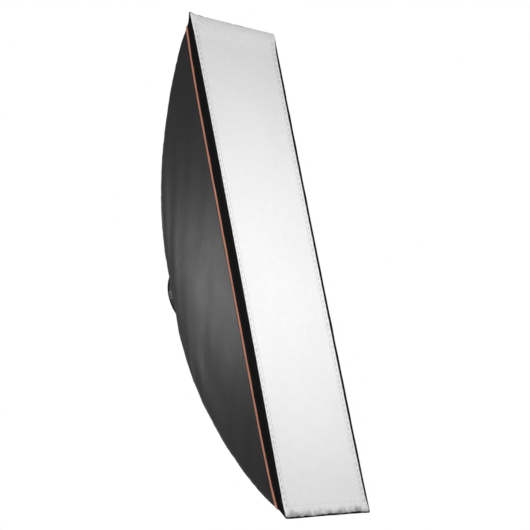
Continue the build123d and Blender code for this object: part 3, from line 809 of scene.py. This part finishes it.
def edge_gathers(x, z, half_x, half_z, seed):
    """Small folds in stretched cloth, at right angles to its sewn edges and fading inwards."""
    total = np.zeros(np.broadcast(x, z).shape)
    rng = np.random.default_rng(seed)
    edges = ((half_x - x, z), (half_x + x, z), (half_z - z, x), (half_z + z, x))
    for inward, along in edges:
        for _ in range(11):
            length = (8 + 34 * rng.random() ** 1.5) * MM
            height = 0.007 * length * (0.4 + rng.random())
            reach = length * (0.7 + 1.2 * rng.random())
            patch = 0.5 + 0.5 * np.sin(along * (7 + 16 * rng.random()) + 6 * rng.random())
            wave = np.sin(2 * pi * (along + 0.2 * inward * (rng.random() - 0.5)) / length + 6 * rng.random())
            total += height * patch * wave * np.exp(-np.maximum(inward, 0) / reach)
    return total


def corner_gathers(x, z, half_x, half_z, seed):
    """Longer folds that fan out of each corner, where the cloth is pulled both ways."""
    total = np.zeros(np.broadcast(x, z).shape)
    rng = np.random.default_rng(seed)
    for sign_x in (-1, 1):
        for sign_z in (-1, 1):
            dx, dz = half_x + 6 * MM - sign_x * x, half_z + 6 * MM - sign_z * z
            away = np.hypot(dx, dz)
            angle = np.arctan2(dz, dx)
            for _ in range(4):
                folds, turn = 9 + 10 * rng.random(), 6 * rng.random()
                height, reach = (0.25 + 0.35 * rng.random()) * MM, (26 + 30 * rng.random()) * MM
                fan = np.sin(folds * angle + turn) * np.exp(-away / reach)
                total += height * fan * np.minimum(1, away / (12 * MM))
    return total


def smooth_step(value):
    """A smooth rise from 0 to 1 as the value goes from 0 to 1."""
    value = np.clip(value, 0, 1)
    return value * value * (3 - 2 * value)


def spill_at(x, z):
    """How far the cloth spills over the lip's front edge along the top, and along the bottom."""
    top = smooth_step((z - HALF_Z + TOP_SPILL) / TOP_RAMP)
    bottom = smooth_step((-z - HALF_Z + BOTTOM_SPILL) / BOTTOM_RAMP)
    return top * smooth_step((x + HALF_X - LEFT_SPILL) / LEFT_RAMP), bottom


def front_relief(x, z, half_x, half_z):
    """How far the diffuser's cloth stands forward of its flat face."""
    from_side = half_x - np.abs(x) + FACE_INSET
    inward = np.minimum(from_side, half_z - np.abs(z) + FACE_INSET)
    relief = edge_gathers(x, z, half_x, half_z, 7) + corner_gathers(x, z, half_x, half_z, 8)
    top, bottom = spill_at(x, z)
    relief += TOP_LIFT * top + BOTTOM_LIFT * bottom
    relief += HEM_RISE / (1 + np.exp((inward - HEM) / EDGE_SOFTNESS))
    relief -= STITCH_SINK * np.exp(-(((from_side - STITCH_INSET) / SINK_REACH) ** 2))
    gather = np.exp(-np.maximum(half_x + x, 0) / (14 * MM) - np.maximum(half_z - z, 0) / (22 * MM))
    relief += CORNER_GATHER * gather * np.sin(2 * pi * (half_x + x) / (7.5 * MM))
    sag = np.exp(-np.maximum(half_z + z, 0) / (12 * MM))
    relief += EDGE_SAG * sag * ripple(18, 6, 12 * MM, 60 * MM, x, z * 0.3)
    free = np.clip(inward / SLACK_RAMP, 0, 1)
    return relief + free * SLACK * ripple(9, 8, 110 * MM, 420 * MM, x, z * 0.6)


def rolled_edge(edge):
    """The rows that carry on from the rim of the front: its rolled edge, and the cloth behind it."""
    top, bottom = spill_at(edge[:, 0], edge[:, 2])
    uneven = bottom * (0.9 * MM * ripple(17, 6, 18 * MM, 90 * MM, edge[:, 0], edge[:, 0] * 0))
    uneven += bottom * 0.6 * MM * smooth_step((edge[:, 0] - HALF_X + 30 * MM) / (22 * MM))
    rows = []
    for k, rolls in enumerate(zip(TUCKED, TOP_ROLL, BOTTOM_ROLL)):
        inside, above, below = (
            ring_at(FACE_Y + back * MM, inset * MM, **BAND_COUNTS) for inset, back in rolls
        )
        ring = inside + (above - inside) * top[:, None] + (below - inside) * bottom[:, None]
        ring[:, 2] -= uneven * sin(pi * (k + 1) / (len(TUCKED) + 1))
        deep = DEEP_TUCK * np.clip(ring[:, 0] / HALF_X * 10 - 9, 0, 1) * (1 - bottom) * (1 - top)
        ring[:, :2] += np.stack([-deep, deep], 1)
        if k == 0:
            start = edge[:, 1] - (FACE_Y - (TOP_LIFT * top + BOTTOM_LIFT * bottom) * RIM_FALL)
        ring[:, 1] += start * (1 - k / (len(TUCKED) - 1)) ** 2
        rows.append(ring)
    for y in np.linspace(FACE_Y + 3 * MM, HOOK_HIGH.y, 4):
        rows.append(ring_at(y, LINED_INSET, **BAND_COUNTS))
    return [pulled(row) for row in rows]


def front_stitches(name, x, z, halves, yarn, **stitch):
    """A row of stitches along a straight line (x, z) on the diffuser's front."""
    points = pulled(np.stack([x, FACE_Y - front_relief(x, z, *halves), z], 1))
    facing = np.tile([0.0, -1.0, 0.0], (len(points), 1))
    stitch_row(name, points, facing, "diffuser", "diffusion_cloth", yarn, closed=False, **stitch)


def make_diffuser():
    """The white front cloth, its rolled edge and border, hem stitches, hook tape and binding."""
    halves = halves_at(float(station(FACE_Y)), FACE_INSET)
    half_x, half_z = halves
    counts = [BAND_COUNTS["n_long" if wall in UPRIGHT else "n_short"] for wall in WALLS]
    flat = coons([wall_line(w, *halves, LEAST_R, n, BAND_COUNTS["n_arc"]) for w, n in zip(WALLS, counts)])
    x, z = flat[..., 0], flat[..., 1]
    grid = np.stack([x, FACE_Y - front_relief(x, z, *halves), z], -1)
    rows = rolled_edge(grid[tuple(rim_of(grid).T)])
    cloth = sheet_with_rim("front_diffuser", pulled(grid), rows, "diffusion_cloth")
    thicken(cloth, DIFFUSER)
    placed(cloth, "diffuser", "diffusion_cloth", "diffuser_face")
    reach = HALF_Z - 2 * STITCH_INSET
    upward = np.linspace(-reach, reach, 601)
    for side, name in ((-1, "left"), (1, "right")):
        for inset, stitch, kind in ((STITCH_INSET, LONG_STITCH, "hem"), (FINE_INSET, FINE_STITCH, "edge")):
            line = np.full(upward.shape, side * (half_x + FACE_INSET - inset))
            front_stitches(f"diffuser_{kind}_stitches_{name}", line, upward, halves, THREAD_GREY, **stitch)
    reach = half_x - STITCH_INSET
    across = np.linspace(-reach, reach, 201)
    for end, name in ((-1, "bottom"), (1, "top")):
        line = np.full(across.shape, end * (half_z + FACE_INSET - HEM))
        front_stitches(f"diffuser_end_stitches_{name}", across, line, halves, THREAD_LIGHT)
    rear, front = HOOK_HIGH.y, HOOK_LOW.y
    tape("hook_strip", rear, front, 3.7 * MM, 1.0 * MM, "hook_tape", "diffuser", "hook_tape", 21)
    front += 1 * MM
    tape("diffuser_binding", rear, front, 5.6 * MM, 0.5 * MM, "hem_binding", "diffuser", "diffuser_hem", 22)


# ---- Inner baffle on its elastic straps ----

BAFFLE_Y = (SHEET_LOW.y + SHEET_HIGH.y) / 2
BAFFLE_HALF_X, BAFFLE_HALF_Z = BAFFLE_HIGH.x, BAFFLE_HIGH.z
BAFFLE_HEM = BAFFLE_HIGH.x - SHEET_HIGH.x
BAFFLE_CLOTH = 0.5 * MM
SCALLOP = 5 * MM  # how far the baffle's edge is drawn in between two straps
HEM_LIFT = 1.15 * MM
# The hem's fold from one face to the baffle's edge, as (inset, share of HEM_LIFT off the cloth)
HEM_FOLD = ((BAFFLE_HEM, 0.75), (BAFFLE_HEM * 0.5, 0.85), (1 * MM, 0.8), (0.2 * MM, 0.5), (0.0, 0.0))
STRAP_ROW = 320 * MM
STRAP_WIDTH = 10 * MM
STRAP_THICK = 1.1 * MM
STRAP_LAP = 1 * MM  # how far a strap runs over the hem's inner edge
TAB_WIDTH = 16 * MM
TAB_THICK = 0.9 * MM
# A tab's path, in millimetres: how far past the strap's end, and how far to the side of it
TAB_PATH = ((1.5, 1.8), (0.2, 1.3), (-1.2, 1.1))
TAB_SPREAD = 3.2 * MM  # where the tab meets the wall
STRAPS = [(sign, 0, z) for sign in (-1, 1) for z in (-STRAP_ROW, 0, STRAP_ROW)] + [(0, -1, 0), (0, 1, 0)]


def scalloped(points, inset):
    """Baffle points (x, z): drawn in between the straps and inset from the edge."""
    x, z = points[:, 0], points[:, 1]
    share_x, share_z = x / BAFFLE_HALF_X, z / BAFFLE_HALF_Z
    bay = np.sin(pi * np.clip(np.abs(z) / STRAP_ROW, 0, 1)) ** 2 * 0.8
    side = SCALLOP * bay + inset
    end = SCALLOP * 0.7 * np.sin(pi * np.clip(np.abs(x) / BAFFLE_HALF_X, 0, 1)) ** 2 + inset
    return np.stack([x - share_x * side, z - share_z * end], 1)


def baffle_lines(inset):
    """The baffle's four edges (x, z), inset from its outer edge."""
    counts = [161 if wall in UPRIGHT else 51 for wall in WALLS]
    lines = [wall_line(w, BAFFLE_HALF_X, BAFFLE_HALF_Z, CORNER_R, n, 4) for w, n in zip(WALLS, counts)]
    return [scalloped(line, inset) for line in lines]


def baffle_loop(inset, back):
    """Points (x, y, z) around the baffle, inset from its edge and so far behind its cloth."""
    line = np.concatenate([line[:-1] for line in baffle_lines(inset)])
    return np.stack([line[:, 0], BAFFLE_Y + back - baffle_wave(line[:, 0], line[:, 1]), line[:, 1]], 1)


def baffle_wave(x, z):
    """How far the slack baffle cloth stands forward."""
    pulls = np.zeros(np.broadcast(x, z).shape)
    for k, (sign_x, sign_z, height) in enumerate(STRAPS):
        at_x = sign_x * BAFFLE_HALF_X
        at_z = sign_z * BAFFLE_HALF_Z if sign_z else height
        away = np.hypot(x - at_x, z - at_z)
        angle = np.arctan2(z - at_z, (x - at_x) * (-sign_x or 1))
        fan = np.sin(11 * angle + k) * np.exp(-away / (38 * MM))
        pulls += 0.8 * MM * fan * np.minimum(1, away / (10 * MM))
    return pulls + 0.9 * MM * ripple(31, 7, 70 * MM, 260 * MM, x, z)


def make_baffle(surfaces):
    """The inner cloth with its folded hem, stitches, elastic straps and wall tabs."""
    flat = coons(baffle_lines(0.5 * MM))
    x, z = flat[..., 0], flat[..., 1]
    grid = np.stack([x, BAFFLE_Y - baffle_wave(x, z), z], -1)
    cloth = sheet_with_rim("inner_baffle", grid, [], "baffle_cloth")
    thicken(cloth, BAFFLE_CLOTH)
    placed(cloth, "softbox", "baffle_cloth", "baffle_sheet")
    front_half = [(inset, -share) for inset, share in HEM_FOLD]
    rows = [baffle_loop(inset, share * HEM_LIFT) for inset, share in (*front_half, *HEM_FOLD[-2::-1])]
    rows = np.array(rows)
    hem = grid_object("baffle_hem_fold", rows, LOOKS["baffle_cloth"], closed_v=True)
    thicken(hem, BAFFLE_CLOTH, offset=0)
    placed(hem, "softbox", "baffle_cloth", "baffle_hem")
    line = baffle_loop(BAFFLE_HEM - 2 * MM, -1.35 * MM)
    facing = np.tile([0.0, -1.0, 0.0], (len(line), 1))
    stitch_row("baffle_hem_stitches", line, facing, "softbox", "baffle_cloth", THREAD_LIGHT)
    make_straps(surfaces)


def ribbon(path, widthwise, width, thickness):
    """Points around a flat band with rounded edges, row by row along a path."""
    path, width = np.asarray(path, float), np.broadcast_to(width, len(path))
    way = np.gradient(path, axis=0)
    way /= np.linalg.norm(way, axis=1, keepdims=True)
    side = np.asarray(widthwise, float)
    side = side / np.linalg.norm(side)
    up = np.cross(way, side)
    angles = np.linspace(0, 2 * pi, 14, endpoint=False)
    across = np.sign(np.cos(angles)) * np.abs(np.cos(angles)) ** 0.35
    height = np.sign(np.sin(angles)) * np.abs(np.sin(angles)) ** 0.6
    return (
        path[:, None]
        + side * (across[None, :, None] * width[:, None, None] / 2)
        + up[:, None] * (height[None, :, None] * thickness / 2)
    )


def joined_grids(name, grids, material):
    """One object from several tubes of points, each one closed around and capped at its ends."""
    vertices, faces, uvs, start = [], [], [], 0
    for points in grids:
        rows, columns = points.shape[:2]
        along = run_along(points, 0).mean(axis=1)
        around = np.linspace(0, 1, columns + 1) * np.linalg.norm(np.diff(points[0], axis=0), axis=1).sum()
        for a in range(rows - 1):
            for b in range(columns):
                quad = ((a, b), (a, b + 1), (a + 1, b + 1), (a + 1, b))
                faces.append([start + row * columns + column % columns for row, column in quad])
                uvs += [(around[column], along[row]) for row, column in quad]
        for row, order in ((0, -1), (rows - 1, 1)):
            faces.append([start + row * columns + b for b in range(columns)][::order])
            uvs += [(around[b], along[row]) for b in range(columns)][::order]
        vertices.append(points.reshape(-1, 3))
        start += rows * columns
    return build_mesh(name, np.concatenate(vertices), faces, uvs, material)


def wall_reach(surfaces, sign_x, sign_z, y, height):
    """How far out the lining's inner face lies, to the side or the end given, at depth y."""
    wall = {(1, 0): "right", (-1, 0): "left", (0, 1): "top", (0, -1): "bottom"}[sign_x, sign_z]
    points, normals = surfaces[wall]
    inner = (points - normals * (CLOTH + LINING + GLUE)).reshape(-1, 3)
    along, out = (2, 0) if sign_x else (0, 2)
    nearest = np.argmin(np.hypot(inner[:, 1] - y, inner[:, along] - height))
    return abs(inner[nearest, out])


def make_straps(surfaces):
    """Eight elastic straps from the baffle's hem to sewn tabs on the walls."""
    straps, tabs = [], []
    for sign_x, sign_z, height in STRAPS:
        out = Vector((sign_x, 0, sign_z))
        across = Vector((0, 0, 1)) if sign_x else Vector((1, 0, 0))
        edge = BAFFLE_HALF_X if sign_x else BAFFLE_HALF_Z
        strap_end = STRAP_HIGH.x if sign_x else STRAP_HIGH.z
        base = Vector((0, BAFFLE_Y, height))
        first = edge - BAFFLE_HEM + STRAP_LAP
        reach = first + np.linspace(0, 1, 25) * (strap_end + 3 * MM - first)
        lift = 2.0 * MM * (1 - np.clip((reach - edge) / (6 * MM), 0, 1))
        path = np.array([base + out * r + Vector((0, -l, 0)) for r, l in zip(reach, lift)])
        width = STRAP_WIDTH * (1 - 0.12 * np.sin(pi * np.clip((reach - edge) / (strap_end - edge), 0, 1)))
        straps.append(ribbon(path, across, width, STRAP_THICK))
        for side in (-1, 1):
            wall_at = wall_reach(surfaces, sign_x, sign_z, BAFFLE_Y + side * TAB_SPREAD, height)
            tab = [base + out * wall_at + Vector((0, side * TAB_SPREAD, 0))]
            for past, aside in TAB_PATH:
                tab.append(base + out * (strap_end + past * MM) + Vector((0, side * aside * MM, 0)))
            tabs.append(ribbon([list(p) for p in tab], across, TAB_WIDTH, TAB_THICK))
    placed(joined_grids("baffle_elastic", straps, LOOKS["elastic"]), "softbox", "elastic", "baffle_straps")
    placed(joined_grids("sewn_tabs", tabs, LOOKS["webbing"]), "softbox", "webbing", "strap_tabs")


# ---- Rear cuff: the cloth gathered around the ring by an elastic ----

CUFF_R = RING_R + 1.3 * MM
CUFF_TURN = 5 * MM
CUFF_END = RING_HIGH.y - 1.5 * MM
NOTCH_DEPTH = 14 * MM  # where the hem steps back from the lock under the ring
NOTCH_HALF = 15 * MM
CASING_R = 1.1 * MM
CASING_DEPTH = 1.5 * MM


def hem_depth(turn):
    """Depth y of the cuff's hem at an angle around the ring."""
    aside = np.abs(CUFF_R * np.cos(turn)) / NOTCH_HALF
    return CUFF_END - NOTCH_DEPTH * np.where(np.sin(turn) < 0, np.exp(-(aside**6)), 0)


def make_cuff():
    """A gathered collar from the shell's rear edge over the ring's rim, and its elastic hem."""
    ring = ring_at(REAR_Y, 0.2 * MM, n_long=241, n_short=221, n_arc=8)
    angle = np.arctan2(ring[:, 2], ring[:, 0])
    rim, end = CUFF_R, hem_depth(angle)
    bend = np.minimum(REAR_Y + CUFF_TURN, end - 0.5 * MM)
    span = np.hypot(ring[:, 0], ring[:, 2]) - rim
    pleat = (np.sin(46 * angle) + 0.6 * np.sin(71 * angle + 1) + 0.5 * np.sin(29 * angle + 2)) / 1.6
    rows = []
    for share in np.linspace(0, 1, 26):
        x = rim * np.cos(angle) * share + ring[:, 0] * (1 - share)
        z = rim * np.sin(angle) * share + ring[:, 2] * (1 - share)
        height = (0.7 * MM * share**1.5 + 0.10 * span * share * (1 - share)) * pleat * (1 - share**4)
        rise = (bend - REAR_Y) * share**3 + 0.10 * span * sin(pi * share)
        rows.append(np.stack([x, REAR_Y + rise + height, z], 1))
    for share in np.linspace(0, 1, 11)[1:]:
        radius = rim + 0.25 * MM * pleat * (0.4 + 0.6 * share)
        depth = bend + (end - bend) * share
        rows.append(np.stack([radius * np.cos(angle), depth, radius * np.sin(angle)], 1))
    rows = np.array(rows)
    cuff = grid_object("rear_cuff", rows[::-1], LOOKS["black_nylon"], closed_v=True)
    thicken(cuff, CLOTH)
    placed(cuff, "softbox", "black_nylon", "rear_collar")
    turns = np.linspace(0, 2 * pi, 961)[:-1]
    casing = []
    for a in np.linspace(0, 2 * pi, 12, endpoint=False):
        ruffle = 0.15 * MM * (np.sin(64 * turns + 0.7 * sin(a)) + 0.6 * np.sin(97 * turns + 2))
        radius = rim + 0.1 * MM + (CASING_R + ruffle) * cos(a)
        depth = hem_depth(turns) - 0.2 * MM - (CASING_DEPTH + ruffle) * sin(a)
        casing.append(np.stack([radius * np.cos(turns), depth, radius * np.sin(turns)], 1))
    elastic = grid_object("cuff_elastic", np.array(casing), LOOKS["elastic"], closed_v=True, closed_u=True)
    placed(elastic, "softbox", "elastic", "collar_elastic")


SEAM_STITCH_INSET = 5 * MM


def make_seam_stitches(surfaces):
    """A row of stitches along both sides of each corner seam of the shell."""
    for wall, (points, normals) in surfaces.items():
        across = run_along(points, 1)
        for k, from_end in enumerate((False, True)):
            line, facing = [], []
            for row, run in enumerate(across):
                at = run[-1] - SEAM_STITCH_INSET if from_end else SEAM_STITCH_INSET
                line.append([np.interp(at, run, points[row, :, c]) for c in range(3)])
                facing.append([np.interp(at, run, normals[row, :, c]) for c in range(3)])
            name, line, facing = f"corner_stitches_{wall}_{k + 1}", np.array(line), np.array(facing)
            stitch_row(name, line, facing, "softbox", "black_nylon", THREAD_DARK, closed=False)


# ---- Corner pockets, which hold the rod ends ----

# Cross-sections of a pocket: place along its length, half width and half height in millimetres
POCKET_PROFILE = (
    (0.0, 4.6, 4.6), (0.03, 5.0, 5.0), (0.30, 5.0, 4.9), (0.62, 5.1, 4.8), (0.80, 5.3, 4.2),
    (0.90, 5.5, 3.0), (0.96, 5.6, 1.6), (1.0, 5.6, 0.8),
)
POCKET_CLOTH = 0.7 * MM


def axis_of(node):
    """Middle, direction towards the front, and length of a long round CAD node."""
    points = np.array([v.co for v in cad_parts[node].data.vertices], float)
    middle = (points.max(axis=0) + points.min(axis=0)) / 2
    way = np.linalg.eigh(np.cov((points - points.mean(axis=0)).T))[1][:, -1]
    way = way if way[1] < 0 else -way
    return middle, way, float(np.ptp(points @ way))


def make_pockets():
    """Four webbing pockets: a sleeve around each rod cap, pressed flat and sewn at its tip."""
    for corner, (sign_x, sign_z) in CORNERS.items():
        node = f"corner_pocket_{corner}"
        middle, way, length = axis_of(node)
        side = np.cross(way, (sign_x, 0, sign_z))
        side /= np.linalg.norm(side)
        up = np.cross(side, way)
        angles = np.linspace(0, 2 * pi, 28, endpoint=False)
        rows = []
        for share, wide, tall in POCKET_PROFILE:
            centre = middle + way * length * (share - 0.5)
            pleat = 1 + 0.03 * np.sin(5 * angles + 3 * share)
            wide, tall = (wide * MM * np.cos(angles) * pleat, tall * MM * np.sin(angles) * pleat)
            rows.append(centre + (side * wide[:, None] + up * tall[:, None]))
        pocket = grid_object(f"rod_pocket_{corner}", np.array(rows), LOOKS["webbing"], closed_v=True)
        thicken(pocket, POCKET_CLOTH)
        smooth = pocket.modifiers.new("round", "SUBSURF")
        smooth.levels = smooth.render_levels = 1
        placed(pocket, "softbox", "webbing", node)


# ---- Finishes of the metal and plastic parts, which keep their CAD shape ----

FINISHES = {
    "zinc_steel": ["adapter_plate", "bayonet_collar", "retaining_clips"],
    "plated_screws": ["adapter_rivets", "clip_screws", "lock_screw", "socket_screws"],
    "ring_aluminium": ["speed_ring"],
    "brake_plastic": ["brake_pad"],
    "knob_plastic": ["lock_knob"],
    "cap_plastic": ["rod_caps"],
    "socket_steel": [f"rod_socket_{corner}" for corner in CORNERS],
    "rod_steel": [f"rod_{corner}" for corner in CORNERS],
}
EDGE_ROUND = 0.25 * MM


def finish_hardware():
    """Gives every CAD part that stays visible its material and soft edges."""
    for look, node in ((look, node) for look, nodes in FINISHES.items() for node in nodes):
        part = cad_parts[node]
        part.data.materials.clear()
        part.data.materials.append(LOOKS[look])
        edges = part.modifiers.new("soft_edges", "BEVEL")
        edges.width, edges.segments, edges.limit_method = EDGE_ROUND, 2, "ANGLE"
        edges.angle_limit = radians(40)


# ---- Stage: floor, light and camera ----


def area_light(name, place, aim, size, power, lean=0):
    """A soft rectangular light at place, turned towards aim and leaning clockwise, in degrees."""
    light = bpy.data.lights.new(name, "AREA")
    light.shape, light.size, light.size_y = "RECTANGLE", size[0], size[1]
    light.energy = power
    obj = bpy.data.objects.new(name, light)
    obj.visible_camera = False
    turn = (Vector(aim) - Vector(place)).to_track_quat("-Z", "Y").to_matrix().to_4x4()
    obj.matrix_world = Matrix.Translation(place) @ turn @ Matrix.Rotation(-radians(lean), 4, "Z")
    bpy.context.scene.collection.objects.link(obj)


FLOOR_Z = -1.7
FLOOR_REACH = 90  # metres to each side, so that no edge shows
FLOOR_GLOW = 0.25
FLOOR_SEEN = 0.60  # how brightly the floor glows to the camera itself
AMBIENT = 0.20
# Place, aim, size in metres, power in watts, and lean in degrees
LIGHTS = {
    "front_key": ((-0.05, FRONT_Y - 0.85, 0.02), (0.0, FRONT_Y, 0.02), (0.5, 0.64), 5.7, 20),
    "low_key": ((-0.05, FRONT_Y - 0.6, -0.36), (-0.02, FRONT_Y, -0.38), (0.25, 0.25), 0.5),
    "back_strip": ((-0.95, 0.85, 0.28), (-0.14, -0.15, -0.08), (1.0, 0.22), 3.4),
    "left_fill": ((-2.4, -0.2, 0.6), (0.0, -0.15, 0.0), (1.0, 1.0), 2.2),
    "right_fill": ((2.2, 1.2, 1.0), (0.0, 0.0, 0.0), (1.2, 1.2), 7),
}


def make_floor():
    """A wide floor of pale paper, which glows a little so that it looks evenly lit."""
    floor_look = Look("floor_paper", 0.9, Emission_Color=(1, 1, 1, 1), Emission_Strength=FLOOR_GLOW)
    flat = floor_look.place("Object")
    tone = floor_look.ramp(floor_look.noise(flat, 0.5, 3), grey(0.80), grey(0.84), 0.3, 0.7)
    floor_look.paint(tone, None, [(floor_look.noise(flat, 4 * MM, 2), 0.1 * MM)])
    seen_floor = floor_look.add("ShaderNodeLightPath").outputs["Is Camera Ray"]
    glow_seen = floor_look.span(seen_floor, FLOOR_GLOW, FLOOR_SEEN)
    floor_look.links.new(glow_seen, floor_look.shader.inputs["Emission Strength"])
    steps = np.linspace(-FLOOR_REACH, FLOOR_REACH, 25)
    grid = np.array([[(x, y, FLOOR_Z) for x in steps] for y in steps])
    grid_object("floor", grid, floor_look.material)


def make_surround():
    """A white surround that lights the object less than it shows to the camera."""
    world = bpy.data.worlds.new("studio")
    bpy.context.scene.world = world
    world.use_nodes = True
    nodes, links = world.node_tree.nodes, world.node_tree.links
    nodes.clear()
    seen, glow = nodes.new("ShaderNodeBackground"), nodes.new("ShaderNodeBackground")
    seen.inputs["Strength"].default_value = 1.0
    glow.inputs["Strength"].default_value = AMBIENT
    for background in (seen, glow):
        background.inputs["Color"].default_value = (1, 1, 1, 1)
    path, mix = nodes.new("ShaderNodeLightPath"), nodes.new("ShaderNodeMixShader")
    output = nodes.new("ShaderNodeOutputWorld")
    links.new(path.outputs["Is Camera Ray"], mix.inputs[0])
    links.new(glow.outputs[0], mix.inputs[1])
    links.new(seen.outputs[0], mix.inputs[2])
    links.new(mix.outputs[0], output.inputs["Surface"])


def make_stage():
    """The floor, the surround, soft studio lights and a plain view transform."""
    make_floor()
    make_surround()
    for name, settings in LIGHTS.items():
        area_light(name, *settings)
    view = bpy.context.scene.view_settings
    view.view_transform, view.look, view.exposure, view.gamma = "Standard", "None", 0.0, 1.0


CAMERA_LENS = 108.68
CAMERA_SENSOR = 36.0
CAMERA_DISTANCE = 3.7969
CAMERA_AIM = Vector((0.0496, -0.2065, 0.0182))
CAMERA_HEADING = radians(49.38)  # from +Y towards +X
CAMERA_PITCH = radians(14.21)  # it looks up at the softbox
CAMERA_ROLL = radians(10.86)


def make_camera():
    """The photograph's low three-quarter view from the front left."""
    flat = cos(CAMERA_PITCH)
    forward = Vector((sin(CAMERA_HEADING) * flat, cos(CAMERA_HEADING) * flat, sin(CAMERA_PITCH)))
    level = forward.cross(Vector((0, 0, 1))).normalized()
    above = level.cross(forward)
    right = level * cos(CAMERA_ROLL) - above * sin(CAMERA_ROLL)
    up = right.cross(forward)
    data = bpy.data.cameras.new("camera")
    data.lens, data.sensor_width = CAMERA_LENS, CAMERA_SENSOR
    data.clip_start, data.clip_end = 0.05, 60.0
    camera = bpy.data.objects.new("camera", data)
    turn = Matrix((right, up, -forward)).transposed().to_4x4()
    camera.matrix_world = Matrix.Translation(CAMERA_AIM - forward * CAMERA_DISTANCE) @ turn
    bpy.context.scene.collection.objects.link(camera)
    bpy.context.scene.camera = camera


make_camera()
make_stage()
SURFACES = make_shell()
make_seam_stitches(SURFACES)
make_lip()
make_piping()
tape("loop_strip", LOOP_HIGH.y, LOOP_LOW.y, 2.1 * MM, 1.0 * MM, "loop_tape", "softbox", "loop_tape", 20)
make_diffuser()
make_baffle(SURFACES)
make_cuff()
make_pockets()
finish_hardware()
